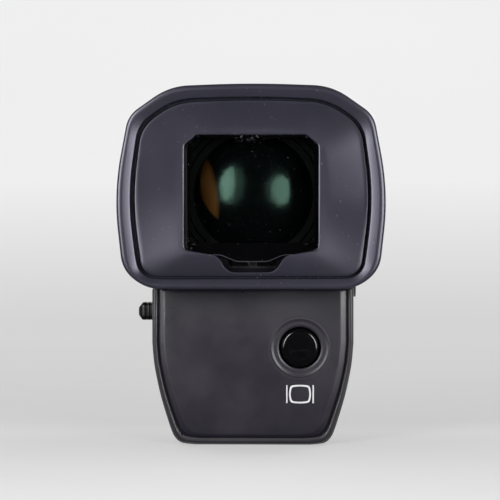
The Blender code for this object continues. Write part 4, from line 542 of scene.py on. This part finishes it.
# the skirt: the share of its length, then its width, its rise and its drop as shares of the lip's
FLARE = ((0.0, 0.900, 0.905, 0.985), (0.30, 0.915, 0.920, 0.985),
         (0.65, 0.955, 0.960, 0.992), (1.0, 1.0, 1.0, 1.0))
WINDOW_HALF, WINDOW_BOTTOM, WINDOW_TOP = 0.00887, 0.0139027, 0.0291
CREST_Y, FACE_Y, FLOOR_Y = -0.0292, -0.0277, -0.0269
SKIRT_Y, SKIRT_REAR_Y, CUP_BACK_Y = -0.02285, -0.0274, -0.02435
FACE_EDGE, FACE_SOFT = 0.00008, 0.0006
WINDOW_EDGE, WINDOW_CHAMFER = 0.00008, 0.0002
FACE_SHARES = (0.0, 0.02, 0.08, 0.16, 0.25, 0.35, 0.45, 0.55, 0.65, 0.75, 0.84, 0.89, 0.92, 0.94,
               0.96, 0.98, 1.0)


def cup_outline(half, top, shares, fillets, side_bow):
    right = [(half * across, top * up) for across, up in shares]
    corners = right + [(-x, z) for x, z in reversed(right)]
    bows = [0, side_bow, 0, 0.0003, 0, side_bow, 0, 0]
    outline = rounded(*bowed(corners, fillets + fillets[::-1], bows), 24)
    return [point + Vector((0, CUP_RISE)) for point in outline]


def stretched(outline, across, up, down):
    """An outline scaled about the cup's own middle, by its own share in each direction."""
    points = []
    for x, z in outline:
        z -= CUP_RISE
        points.append(Vector((x * across, z * (up if z > 0 else down) + CUP_RISE)))
    return points


def drawn_in(outline, margin):
    """An outline scaled so that its sides, its top and its bottom come in by a margin."""
    xs = [x for x, _ in outline]
    zs = [z - CUP_RISE for _, z in outline]
    shares = [(size - margin) / size for size in (max(xs), max(zs), -min(zs))]
    return stretched(outline, *shares)


def mirrored(half, fillets, centre_z):
    """A rounded outline round a height, from the corners of its right half with the top first."""
    corners = [(x, z - centre_z) for x, z in reversed(half)]
    corners += [(-x, z) for x, z in reversed(corners)]
    return rounded(corners, fillets + fillets[::-1], 6)


def window_outline():
    half = [(WINDOW_HALF - 0.0016, WINDOW_TOP), (WINDOW_HALF, WINDOW_TOP - 0.0014),
            (WINDOW_HALF, WINDOW_BOTTOM), (0.00447, WINDOW_BOTTOM - 0.0008),
            (0.00315, WINDOW_BOTTOM - 0.0030)]
    return mirrored(half, [0.0011, 0.0008, 0.0007, 0.0003, 0.0003], CUP_CENTRE_Z)


def lip_section():
    """The lip from its outer edge inward, as (distance in, drop below the crest)."""
    edge, inner, inner_round = 0.00030, 0.00190, 0.00010
    # it rises from the outer edge, runs level and then falls towards the groove
    slopes = ((0.00042, -0.13), (0.00050, -0.01), (0.00070, 0.0), (0.00080, 0.165), (0.00130, 0.195),
              (inner - inner_round, 0.23))
    tilt = atan(0.17)
    section = []
    for step in range(7):
        turn = (pi / 2 - tilt) * step / 6
        section.append((edge * (1 - cos(turn)), edge * (1 - sin(turn))))
    start, slope = section[-1][0], -0.17
    for end, next_slope in slopes:
        drop = section[-1][1]
        for step in range(1, 4):
            t = step / 3
            fall = slope * t + (next_slope - slope) * t * t / 2
            section.append((start + (end - start) * t, drop + (end - start) * fall))
        start, slope = end, next_slope
    tilt, drop = atan(slope), section[-1][1]
    for turn in quarter(6, tilt)[1:]:
        across = inner_round * (sin(turn) - sin(tilt))
        section.append((start + across, drop + inner_round * (cos(tilt) - cos(turn))))
    crest = min(drop for _, drop in section)
    return [(distance, drop - crest) for distance, drop in section]


def eyecup():
    """The soft cup as one moulding, from the window's wall over the lip to the skirt."""
    lip_shape = cup_outline(LIP_SIDE, LIP_TOP, LIP_SHARES, LIP_FILLETS, 0.00113)
    inner_shape = cup_outline(INNER_SIDE, INNER_TOP, INNER_SHARES, INNER_FILLETS, 0.0009)
    window_shape = window_outline()
    angles = directions(400, window_shape)
    lip, inner, window = [reach(shape, angles) for shape in (lip_shape, inner_shape, window_shape)]
    groove = reach(drawn_in(inner_shape, 0.00010), angles)
    dish_end = reach(stretched(inner_shape, 0.655, 0.665, 0.740), angles)
    boss = reach(drawn_in(stretched(inner_shape, 0.860, 0.860, 1.015), -0.00025), angles)
    flares = [(along, reach(stretched(lip_shape, *shares), angles)) for along, *shares in FLARE]

    def ring_at(distances, depths):
        """A ring round the cup's middle, at one depth or with a depth for each point."""
        if isinstance(depths, float):
            depths = [depths] * len(angles)
        return [(distance * cos(angle), y, CUP_CENTRE_Z + distance * sin(angle))
                for angle, distance, y in zip(angles, distances, depths)]

    def face_y(index, distance):
        """The face's depth: a shallow dish that levels out, with a soft edge along the groove."""
        low, high, turn = dish_end[index], groove[index], angles[index]
        share = max(0.0, min(1.0, (high - distance) / (high - low)))
        dish = 0.00034 * (1 + 0.5 * cos(turn)) * (1 + min(0.0, sin(turn)))
        dish += 0.0004 * max(0.0, sin(turn)) + 0.0006 * min(0.0, sin(turn))
        soft = max(0.0, 1 - (high - distance) / FACE_SOFT)
        return FACE_Y + dish * share * (1.35 - 0.35 * share) + 0.14 * FACE_SOFT / 2 * soft**2

    def across_lip(inward):
        """The distances a given way in from the lip's outer edge."""
        share = inward / LIP_WIDTH
        return [outer + (within - outer) * share * (1 + 0.03 * cos(angle))
                for angle, outer, within in zip(angles, lip, inner)]

    rings = [ring_at(window, CUP_BACK_Y), ring_at(window, -0.0250)]
    # the window's edge is chamfered, apart from the notch's own edge
    tilt = radians(12)
    foot = WINDOW_EDGE * (1 - sin(tilt))
    chamfer_drop = (WINDOW_CHAMFER - foot) * tan(tilt)
    notch_z = WINDOW_BOTTOM - 0.0006 - CUP_CENTRE_Z
    keen = [0.0 if w * sin(angle) < notch_z else 1.0 for w, angle in zip(window, angles)]
    starts = [w + WINDOW_CHAMFER for w in window]
    ends = [g - FACE_EDGE for g in groove]
    for step in range(6):
        turn = (pi / 2 - tilt) * step / 5
        out = WINDOW_EDGE * (1 - cos(turn))
        down = chamfer_drop + WINDOW_EDGE * (cos(tilt) - sin(turn))
        depths = [face_y(i, start) + down * keen[i] for i, start in enumerate(starts)]
        rings.append(ring_at([w + out for w in window], depths))
    for share in FACE_SHARES:
        distances = [start + (end - start) * share for start, end in zip(starts, ends)]
        rings.append(ring_at(distances, [face_y(i, distance) for i, distance in enumerate(distances)]))
    for turn in quarter(4)[1:]:
        depths = [face_y(i, end) + FACE_EDGE * (1 - cos(turn)) for i, end in enumerate(ends)]
        rings.append(ring_at([g - FACE_EDGE * (1 - sin(turn)) for g in groove], depths))
    for lead, y in ((0.00006, FLOOR_Y - 0.00030), (0.00010, FLOOR_Y)):
        rings.append(ring_at([g + lead for g in groove], y))
    rings.append(ring_at(across_lip(0.00202), FLOOR_Y))
    rings.append(ring_at(across_lip(0.00193), FLOOR_Y - 0.00040))
    for distance, drop in reversed(lip_section()):
        rings.append(ring_at(across_lip(distance), CREST_Y + drop))
    for step in range(17):
        along = 1 - step / 16
        for (low, near), (high, far) in zip(flares, flares[1:]):
            if low <= along <= high:
                t = (along - low) / (high - low)
                distances = [a + (b - a) * t for a, b in zip(near, far)]
        rings.append(ring_at(distances, SKIRT_Y + (SKIRT_REAR_Y - SKIRT_Y) * along))
    rings.append(ring_at([distance - 0.00012 for distance in flares[0][1]], SKIRT_Y))
    rings += [ring_at(boss, SKIRT_Y), ring_at(boss, CUP_BACK_Y)]
    cup = ringed("eyecup_moulding", rings, "head", "eyecup_rubber", "cup_rubber", closed=True)
    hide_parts("eyecup")


def monitor_sign():
    """A screen with bowed sides between two upright bars, printed under the button."""
    centre = Vector((0.00636, -0.00548))
    line, bar_x, bar_half, bar_tall = 0.000108, 0.00177, 0.00009, 0.00121
    near_y, far_y = -0.021508, -0.02147

    def screen(margin, y):
        wide, tall = 0.00120 + margin, 0.00104 + margin
        corners = [(wide * x, tall * z) for x, z in SQUARE]
        fillets = [0.00034 + margin * 0.6] * 4
        outline = rounded(*bowed(corners, fillets, [0.00010, 0.00016, 0.00010, 0.00016]), 7)
        return [(centre.x + x, y, centre.y + z) for x, z in outline]

    def bar(middle, y):
        return [(middle + x * bar_half, y, centre.y + z * bar_tall) for x, z in SQUARE]

    screens = [screen(line, near_y), screen(-line, near_y), screen(-line, far_y), screen(line, far_y)]
    solids = [surface(screens, closed=True)]
    for middle in (centre.x - bar_x, centre.x + bar_x):
        solids.append(surface([bar(middle, near_y), bar(middle, far_y)]))
    mesh_piece("monitor_sign", *joined(solids), "base", "white_print", "panel_plastic", False)


# Rear panel and its button
BUTTON_X, BUTTON_Z = 0.00635, 0.00075
PANEL_REAR_Y, PANEL_FRONT_Y = -0.0215, -0.0201
BLOCK_HALF, TAPER_Z, BLOCK_BOTTOM_Z = 0.01351, 0.0014, -0.01225
PANEL_TOP_Z, RIM_TOP_Z = 0.00862, 0.00880
BLOCK_SHARES = ((0.983, 0.190), (0.953, 0.357), (0.911, 0.537), (0.857, 0.716), (0.804, 0.871),
                (0.766, 0.938), (0.719, 0.977), (0.658, 0.991), (0.562, 1.0))


def smooth_through(points, steps):
    """More points on a smooth curve through the given ones."""
    padded = [points[0] * 2 - points[1], *points, points[-1] * 2 - points[-2]]
    curve = []
    for a, b, c, d in zip(padded, padded[1:], padded[2:], padded[3:]):
        for step in range(steps):
            t = step / steps
            curve.append(0.5 * (2 * b + (c - a) * t + (2 * a - 5 * b + 4 * c - d) * t**2
                                + (3 * b - 3 * c + d - a) * t**3))
    return curve + [points[-1]]


def block_outline(side_inset, bottom_inset, top_z):
    """The block's outline as seen from behind, drawn in from its sides and its bottom."""
    half = BLOCK_HALF - side_inset
    drop = TAPER_Z - BLOCK_BOTTOM_Z - bottom_inset
    side = [Vector((half, TAPER_Z))]
    for half_share, drop_share in BLOCK_SHARES:
        side.append(Vector((BLOCK_HALF * half_share - side_inset, TAPER_Z - drop * drop_share)))
    side = [Vector((half, top_z)), *smooth_through(side, 5)]
    return side + [Vector((-x, z)) for x, z in reversed(side)]


def rear_panel():
    """The inset panel: a wide soft bevel, and round the button a dish with two faint rings."""
    side, bottom = 0.00085, 0.00096
    # how far in from the edge and how deep below the face: a round, then a chamfer that eases out
    edge_steps = [(0.0, 0.00036), (0.00002, 0.00025), (0.00007, 0.00018), (0.00014, 0.00015)]
    edge_steps += [(0.00014 + 0.00056 * t, 0.00015 - 0.000125 * t) for t in (0.25, 0.5, 0.75, 1.0)]
    edge_steps += [(0.00077, 0.000013), (0.00085, 0.000004), (0.00095, 0.0)]
    outlines = []
    for inset, _ in edge_steps:
        outline = block_outline(side + inset, bottom + inset * 0.42, PANEL_TOP_Z - inset * 0.05)
        outlines.append([Vector((x - BUTTON_X, z - BUTTON_Z)) for x, z in outline])
    angles = directions(240, outlines[0])

    def ring_at(distances, y):
        """A ring round the button. On the face it follows the panel's slight crown."""
        ring = []
        for angle, distance in zip(angles, distances):
            x, z = BUTTON_X + distance * cos(angle), BUTTON_Z + distance * sin(angle)
            crown = 0.00012 * ((z + 0.0010) / 0.0100) ** 2
            ring.append((x, y + (crown if y < -0.0211 else 0.0), z))
        return ring

    dish_radius = 0.00440
    profile = [
        (0.00278, PANEL_FRONT_Y), (0.00278, -0.02128), (0.00280, -0.02136), (0.00286, -0.02141),
        (0.00315, -0.02142), (0.00345, -0.02142), (0.00358, -0.02143), (0.00368, -0.021455),
        (0.00378, -0.02149), (0.00386, -0.0215), (0.00396, -0.0215), (0.00404, -0.021496),
        (0.00411, -0.021486), (0.00418, -0.021496), (0.00426, -0.0215), (dish_radius, -0.0215),
    ]
    rings = [ring_at([radius] * len(angles), y) for radius, y in profile]
    far = [reach(outline, angles) for outline in outlines]
    for share in (0.15, 0.3, 0.45, 0.6, 0.75, 0.9):
        rings.append(ring_at([dish_radius + (d - dish_radius) * share for d in far[-1]], PANEL_REAR_Y))
    for distances, (_, depth) in reversed(list(zip(far, edge_steps))):
        rings.append(ring_at(distances, PANEL_REAR_Y + depth))
    rings.append(ring_at(far[0], PANEL_FRONT_Y))
    panel = ringed("rear_panel_moulding", rings, "base", "panel_moulding", "panel_plastic", closed=True)
    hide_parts("rear_panel")


def block_rim():
    """The block's rounded rim round the panel, with a rounded end at the top of each side."""
    crest_y, foot_y, drop, rounding = -0.02118, -0.02128, 0.00025, 0.00026
    section = [(0.0, -0.0199), (0.0, -0.0206), (0.0, crest_y)]
    for turn in quarter(6)[1:]:
        section.append((0.42 * (1 - cos(turn)), crest_y - 0.00035 * sin(turn)))
    for turn in quarter(6):
        section.append((0.60 + 0.40 * sin(turn), foot_y - drop * cos(turn)))
    section += [(1.0, -0.02122), (1.135, -0.0212), (1.135, -0.0203)]
    outlines = [block_outline(share * 0.00074 - 0.00003, share * 0.00086 - 0.00003, RIM_TOP_Z)
                for share, _ in section]
    middle = sum(share for share, _ in section) / len(section)

    def end_ring(index, turn):
        """The section at one end, drawn in towards its own middle as it rounds over."""
        height = RIM_TOP_Z - rounding * (1 - sin(turn))
        ring = []
        for (across, y), outline in zip(section, outlines):
            near, far = outlines[0][index].x, outlines[-1][index].x
            drawn = middle + (across - middle) * cos(turn)
            depth = y + drop * (1 - cos(turn)) * (1 if y < -0.0211 else 0)
            ring.append((near + (far - near) * drawn, depth, height))
        return ring

    turns = [radians(angle) for angle in (84, 66, 48, 30, 12, 0)]
    last = len(outlines[0]) - 1
    rings = [end_ring(0, turn) for turn in turns]
    for index in range(1, last):
        rings.append([(outline[index].x, y, outline[index].y)
                      for (_, y), outline in zip(section, outlines)])
    rings += [end_ring(last, turn) for turn in reversed(turns)]
    ringed("block_rim", rings, "base", "rim_moulding", "housing_plastic")


def turned(name, profile, centre_x, centre_z, body, look, slot):
    """A round piece turned about an axis along Y, from (radius, y) points."""
    angles = [tau * step / 96 for step in range(96)]
    rings = [[(centre_x + radius * cos(angle), y, centre_z + radius * sin(angle))
              for angle in angles] for radius, y in profile]
    return ringed(name, rings, body, look, slot)


def monitor_button():
    """The round gloss cap with a softly rounded edge, its flange and its stem."""
    face, edge, cap, flange, stem = -0.0219, 0.00036, 0.0025, 0.0032, 0.0011
    profile = [(0.0004, face + 0.00006), (0.0010, face + 0.00004), (0.0015, face + 0.00001)]
    for turn in quarter(8):
        profile.append((cap - edge * (1 - sin(turn)), face + edge * (1 - cos(turn))))
    profile += [(cap, -0.01987), (flange, -0.01985), (flange, -0.01925), (stem, -0.01925)]
    profile += [(stem, -0.0186)]
    button = turned("round_button", profile, BUTTON_X, BUTTON_Z, "button", "button_gloss", "gloss_black")
    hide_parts("monitor_button")


def lock_slider():
    """The gloss knob on its arm, and the bar with the two prongs that lift the lock pin."""
    knob_y, knob_z, half_long, half_tall = -0.0164, 0.00555, 0.0017, 0.0012
    # the knob's sections from its arm outward: x, and the shares of its length and height
    sections = [(-0.01300, 0.60, 0.60), (-0.01345, 0.97, 0.97), (-0.01350, 1.0, 1.0)]
    for groove in (-0.01397, -0.01447):
        sections += [(groove, 1.0, 1.0), (groove - 0.00003, 0.975, 0.965),
                     (groove - 0.00009, 0.975, 0.965), (groove - 0.00012, 1.0, 1.0)]
    sections += [(-0.01510, 1.0, 1.0), (-0.01518, 0.98, 0.97), (-0.01556, 0.80, 0.56),
                 (-0.01563, 0.74, 0.46), (-0.01566, 0.66, 0.36)]
    rings = []
    for x, long_share, tall_share in reversed(sections):
        half_y, half_z = half_long * long_share, half_tall * tall_share
        corners = [(half_y * y, half_z * z) for y, z in SQUARE]
        outline = rounded(corners, [0.00060 * tall_share] * 4, 7)
        rings.append([(x, knob_y + y, knob_z + z) for y, z in outline])
    ringed("slider_knob", rings, "slider", "knob_moulding", "black_plastic")
    bar_rear, bar_front = knob_y - 0.0011, knob_y + 0.0011
    low, high, prong_y = 0.0050, 0.0060, 0.0031
    blocks = [
        ((-0.0134, bar_rear), (-0.0010, bar_rear), (-0.0010, bar_front), (-0.0134, bar_front)),
        ((-0.0020, bar_rear), (0.0020, bar_rear), (0.0020, prong_y), (-0.0020, prong_y)),
    ]
    solids = [surface([[(x, y, z) for x, y in corners] for z in (low, high)]) for corners in blocks]
    # a prong from the side: it starts in the bar, steps up to its crest and ramps down to its tip
    start_y, step_y, crest_y, tip_y, tip_z, crest_z = 0.0015, 0.0024, 0.0034, 0.0064, 0.0051, 0.0066
    prong = [(start_y, low), (tip_y, low), (tip_y, tip_z), (crest_y, crest_z), (step_y, crest_z),
             (step_y, high), (start_y, high)]
    for ends in ((-0.0020, -0.0012), (0.0012, 0.0020)):
        solids.append(surface([[(x, y, z) for y, z in prong] for x in ends]))
    bar = mesh_piece("slider_bar", *joined(solids), "slider", "control_moulding", "black_plastic", False)
    soften(bar, 0.00008)
    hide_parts("lock_slider")


# The flat cable's route from the main board round the hinge pin to the display board, as (y, z)
RIBBON_ROUTE = (
    (-0.0141, 0.0045), (-0.0141, 0.0058), (-0.0133, 0.0067), (-0.0110, 0.00685), (-0.0069, 0.00685),
    (0.0050, 0.00685), (0.0090, 0.0068), (0.0110, 0.0068), (0.0128, 0.0072), (0.0147, 0.0083),
    (0.0156, 0.0102), (0.0151, 0.0120), (0.0138, 0.0134), (0.0131, 0.0148), (0.0129, 0.0162),
    (0.0123, 0.0172), (0.0110, 0.0176),
)


def strip_along(name, route, centre_x, width, thickness, look, slot):
    """A flat strip with rounded edges along a route in the plane of Y and Z."""
    half, edge = width / 2, thickness / 2
    rings = []
    for index, point in enumerate(route):
        heading = (route[min(index + 1, len(route) - 1)] - route[max(index - 1, 0)]).normalized()
        across = Vector((-heading.y, heading.x))
        ring = []
        for side, turns in ((1, (-90, -45, 0, 45, 90)), (-1, (90, 135, 180, 225, 270))):
            for turn in turns:
                x = centre_x + side * (half - edge) + edge * cos(radians(turn))
                place = point + across * edge * sin(radians(turn))
                ring.append((x, place.x, place.y))
        rings.append(ring)
    return ringed(name, rings, None, look, slot)


def flat_ribbon():
    """The flex cable, from the main board round the hinge pin up into the head, built still in one shape.
    """
    route = smooth_through([Vector(point) for point in RIBBON_ROUTE], 6)
    ribbon = strip_along("flex_ribbon", route, 0.0052, 0.0050, 0.00016, "flex_polyimide", "flex_film")
    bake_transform(ribbon)
    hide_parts("flex_cable")


def leaf_spring():
    """The leaf under the lid, curved down along its length and built still; in the finder its free end
    rises with the lock pin.
    """
    low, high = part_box("lock_spring")
    thickness = 0.00015
    route = []
    for step in range(25):
        share = step / 24
        top = high.z + (low.z + thickness - high.z) * share**2
        route.append(Vector((low.y + (high.y - low.y) * share, top - thickness / 2)))
    leaf = strip_along("lock_leaf", route, 0.0, high.x - low.x, thickness, "rolled_steel", "steel")
    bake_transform(leaf)
    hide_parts("lock_spring")


# Eyepiece: the pane behind the eyecup's window and the lens behind the pane
OPTICAL_Z = 0.0215


def eye_lens():
    """The lens nearest the eye: a domed face that steepens to its rim, a flange, a flatter far face."""
    flange_y, cap, bulge, sphere = -0.01825, 0.0080, 0.00275, 0.020
    far_y, far_bulge, edge, bevelled = -0.01625, 0.0007, 0.00905, 0.00895
    steepening = bulge - (sphere - sqrt(sphere**2 - cap**2))
    profile = []
    for step in range(1, 33):
        radius = cap * step / 32
        drop = sphere - sqrt(sphere**2 - radius**2) + steepening * (radius / cap) ** 8
        profile.append((radius, flange_y - bulge + drop))
    profile += [(bevelled, flange_y), (edge, flange_y + 0.0001), (edge, far_y - 0.0001), (bevelled, far_y)]
    far = (edge**2 + far_bulge**2) / (2 * far_bulge)
    for step in range(1, 12):
        radius = bevelled * (1 - step / 12)
        profile.append((radius, far_y + sqrt(far**2 - radius**2) - (far - far_bulge)))
    lens = turned("eye_lens_glass", profile, 0, OPTICAL_Z, "lens_carriage", "coated_lens", "lens_glass")
    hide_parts("eye_lens")


def window_pane():
    """The pane with its black printed border and the tab over the eye sensor."""
    half = [(0.0099, 0.0302), (0.0099, 0.0132), (0.0042, 0.01318), (0.0021, 0.01227)]
    outline = mirrored(half, [0.0005, 0.0006, 0.0012, 0.0015], OPTICAL_Z)
    near, far, bevel = -0.0241, -0.0232, 0.00012
    rings = []
    for inset, y in ((bevel, near), (0, near + bevel), (0, far)):
        share = 1 - inset / 0.0090
        rings.append([(x * share, y, OPTICAL_Z + z * share) for x, z in outline])
    pane = mesh_piece("window_pane", *surface(rings), "head", "window_glass_clear", "window_glass", False)
    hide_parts("window_glass")


eyecup()
window_pane()
eye_lens()
rear_panel()
block_rim()
monitor_button()
lock_slider()
flat_ribbon()
leaf_spring()
monitor_sign()


def shape_group(name, build):
    """A node group that changes a mesh's shape or shading, as a function builds it."""
    group = bpy.data.node_groups.new(name, "GeometryNodeTree")
    for side in ("INPUT", "OUTPUT"):
        group.interface.new_socket("Geometry", in_out=side, socket_type="NodeSocketGeometry")
    nodes = Nodes(group)
    nodes.node("NodeGroupOutput", {0: build(nodes, nodes.node("NodeGroupInput"))})
    return group


def eased_corners(nodes, shape):
    """Rounder lower corners for the head, tucked in behind the lip."""
    x, _, z = nodes.parts(nodes.node("GeometryNodeInputPosition"))
    share = nodes.size_of(x).between(0.0126, 0.0136) * z.between(0.0104, 0.0090)
    offset = nodes.node("ShaderNodeCombineXYZ", {"X": share * x * -0.030, "Z": share * 0.00042})
    return nodes.node("GeometryNodeSetPosition", {"Geometry": shape, "Offset": offset})


def smooth_curves(nodes, shape):
    """Smooth shading across gentle curves, with the edges that turn more than 31 degrees kept crisp."""
    shape = nodes.node("GeometryNodeRemoveAttribute", {"Geometry": shape, "Name": "custom_normal"})
    shape = nodes.node("GeometryNodeSetShadeSmooth", {"Geometry": shape})
    crisp = nodes.node("GeometryNodeInputMeshEdgeAngle") > radians(31)
    inputs = {"Geometry": shape, "Selection": crisp, "Shade Smooth": False}
    return nodes.node("GeometryNodeSetShadeSmooth", inputs, {"domain": "EDGE"})


# Smooth curves on every piece carried over from the frame, and softer edges on its mouldings
EDGE_SOFTNESS = {
    "base_housing": 0.00012, "head_top_cover": 0.00020, "head_bottom_cover": 0.00015,
    "base_top_cover": 0.0001, "shoe_foot": 0.00015, "eyepiece_frame": 0.0001,
}
corners = shape_group("eased_corners", eased_corners)
for name in ("head_bottom_cover", "eyepiece_frame"):
    NODES[name].modifiers.new("corners", "NODES").node_group = corners
smoothing = shape_group("smooth_curves", smooth_curves)
for name, node in NODES.items():
    node.modifiers.new("weld", "WELD").merge_threshold = 1e-6
    node.modifiers.new("curves", "NODES").node_group = smoothing
    if name in EDGE_SOFTNESS:
        soften(node, EDGE_SOFTNESS[name])

# Where the lamps and the card behind the camera face
LIT_POINT = Vector((0, -0.022, 0.0185))


def towards(azimuth, elevation):
    """The way from the object to a lamp or a card. Azimuth 0 is the camera's side."""
    turn, rise = radians(azimuth), radians(elevation)
    level = cos(rise)
    return Vector((sin(turn) * level, -cos(turn) * level, sin(rise)))


def span(angle, distance):
    """How wide a thing is that fills an angle at a distance."""
    return 2 * distance * tan(radians(angle) / 2)


def facing(name, data, target, way, distance):
    """A new object at a distance from a target and turned towards it."""
    obj = placed(name, data)
    obj.location = target + way * distance
    obj.rotation_euler = way.to_track_quat("Z", "Y").to_euler()
    return obj


def lamp(name, azimuth, elevation, wide, tall, radiance, distance=0.24):
    """A white soft box that faces the object: its width and height are angles seen from there."""
    data = bpy.data.lights.new(name, "AREA")
    data.shape = "ELLIPSE"
    data.size = span(wide, distance)
    data.size_y = span(tall, distance)
    data.energy = radiance * pi * data.size * data.size_y * pi / 4
    facing(name, data, LIT_POINT, towards(azimuth, elevation), distance).visible_camera = False


lamp("left_softbox", -24.8, 10.4, 14.2, 29.0, 12.0)
lamp("left_softbox_edge", -20.4, 9.6, 23.4, 32.0, 1.5, 0.245)
lamp("right_softbox", 25.0, 4.8, 22.4, 25.8, 8.4)
lamp("right_softbox_edge", 23.0, 4.8, 27.0, 27.0, 1.3, 0.245)
lamp("rear_left_softbox", -145, 25, 34, 50, 2.6, 0.62)
lamp("rear_right_softbox", 145, 25, 34, 50, 2.6, 0.62)


def studio_piece(name, verts, faces, material):
    """A part of the studio, which the object's own pieces don't include."""
    obj = placed(name, new_mesh(name, verts, faces, material))
    return obj


def dark_card(name, corners):
    """A black card that only reflections see."""
    finish = Finish(name)
    finish.set(Base_Color=(0.004, 0.004, 0.004, 1), Roughness=1.0, Specular_IOR_Level=0.0)
    card = studio_piece(name, corners, [(0, 1, 2, 3)], finish.material)
    card.visible_camera = card.visible_shadow = card.visible_diffuse = False


def rear_flag():
    """A dark card behind the camera, high before the lens."""
    distance, way = 0.9, towards(0, 20)
    side = way.cross(Vector((0, 0, 1))).normalized() * span(34, distance) / 2
    up = side.cross(way).normalized() * span(100, distance) / 2
    centre = LIT_POINT + way * distance
    dark_card("rear_flag", [centre + side * x + up * z for x, z in SQUARE])


def table_flag():
    """A dark card on the table before the object."""
    near, far, half, height = -0.9, -0.0120, 0.5, -0.01228
    corners = [(-half, near), (half, near), (half, far), (-half, far)]
    dark_card("table_flag", [(x, y, height) for x, y in corners])


def pale_paper():
    """Pale paper: the camera and reflections see most of its tone as given, the rest as lit. The given
    tone holds painted light and shade: lighter near the object and up the wall, darker towards the camera.
    """
    finish = Finish("sweep_paper")
    fibre = finish.noise(60, 3.0)
    base = finish.mixed(fibre.between(0.3, 0.7), (0.80, 0.80, 0.80, 1), (0.82, 0.82, 0.82, 1))
    finish.set(Base_Color=base, Roughness=0.9, Specular_IOR_Level=0.2)
    _, y, z = finish.parts(finish.place())
    # painted light and shade: the tone is lighter near the object and up the wall, and darker towards the
    # camera
    near = y.between(0.0, 0.25, 0.10, 0.0) + y.between(-0.055, 0.02, 0.205, 0.0)
    wall = z.between(-0.012, 0.0425, 0.0, 0.275) + z.between(0.0425, 0.11, 0.0, 0.04)
    tone = 0.66 + near + wall - y.between(-0.25, -0.1, 0.1, 0.0)
    seen = finish.larger(finish.ray("Glossy"), finish.ray("Transmission"))
    seen = finish.larger(finish.ray("Camera"), seen)
    share = finish.larger(y.between(0.03, 0.4, 0.5, 0.85), y.between(-0.13, -0.085, 1.0, 0.0))
    return finish.show(seen * share, finish.body, finish.node("ShaderNodeEmission", {"Color": tone}))


def studio_sweep():
    """A pale floor that curves up behind the object into a backdrop."""
    floor_z, wall_y, bend = -0.01232, 0.75, 0.30
    profile = [(-1.6, floor_z), (-0.6, floor_z), (-0.2, floor_z), (wall_y - bend, floor_z)]
    for turn in quarter(16)[1:]:
        profile.append((wall_y - bend + bend * sin(turn), floor_z + bend * (1 - cos(turn))))
    profile.append((wall_y, 1.4))
    verts = [(x, y, z) for y, z in profile for x in (-1.5, 1.5)]
    rows = range(0, len(verts) - 2, 2)
    studio_piece("sweep", verts, [(row, row + 1, row + 3, row + 2) for row in rows], pale_paper())


def studio_world():
    """Soft light from all round, and a pale surround where the camera sees it, also through glass."""
    world = bpy.data.worlds.new("studio")
    world.use_nodes = True
    nodes = Nodes(world.node_tree)
    pale = nodes.larger(nodes.ray("Camera"), nodes.ray("Transmission"))
    surround = {"Color": (1.0, 1.0, 1.0, 1), "Strength": pale.between(0.0, 1.0, 0.15, 0.88)}
    nodes.node("ShaderNodeOutputWorld", {"Surface": nodes.node("ShaderNodeBackground", surround)})
    bpy.context.scene.world = world


def camera():
    """The photograph's view: level with the panel's top, a little to the right of the middle."""
    focal_pixels, picture_pixels, sensor = 2292, 500, 36.0
    data = bpy.data.cameras.new("camera")
    data.sensor_width = sensor
    data.lens = focal_pixels / picture_pixels * sensor
    data.clip_start, data.clip_end = 0.01, 20
    lip = Vector((-0.00008, -0.0295, 0.01387))
    bpy.context.scene.camera = facing("camera", data, lip, towards(2.0, 0), 0.300)


rear_flag()
studio_sweep()
table_flag()
studio_world()
camera()
bpy.context.scene.view_settings.view_transform = "Standard"
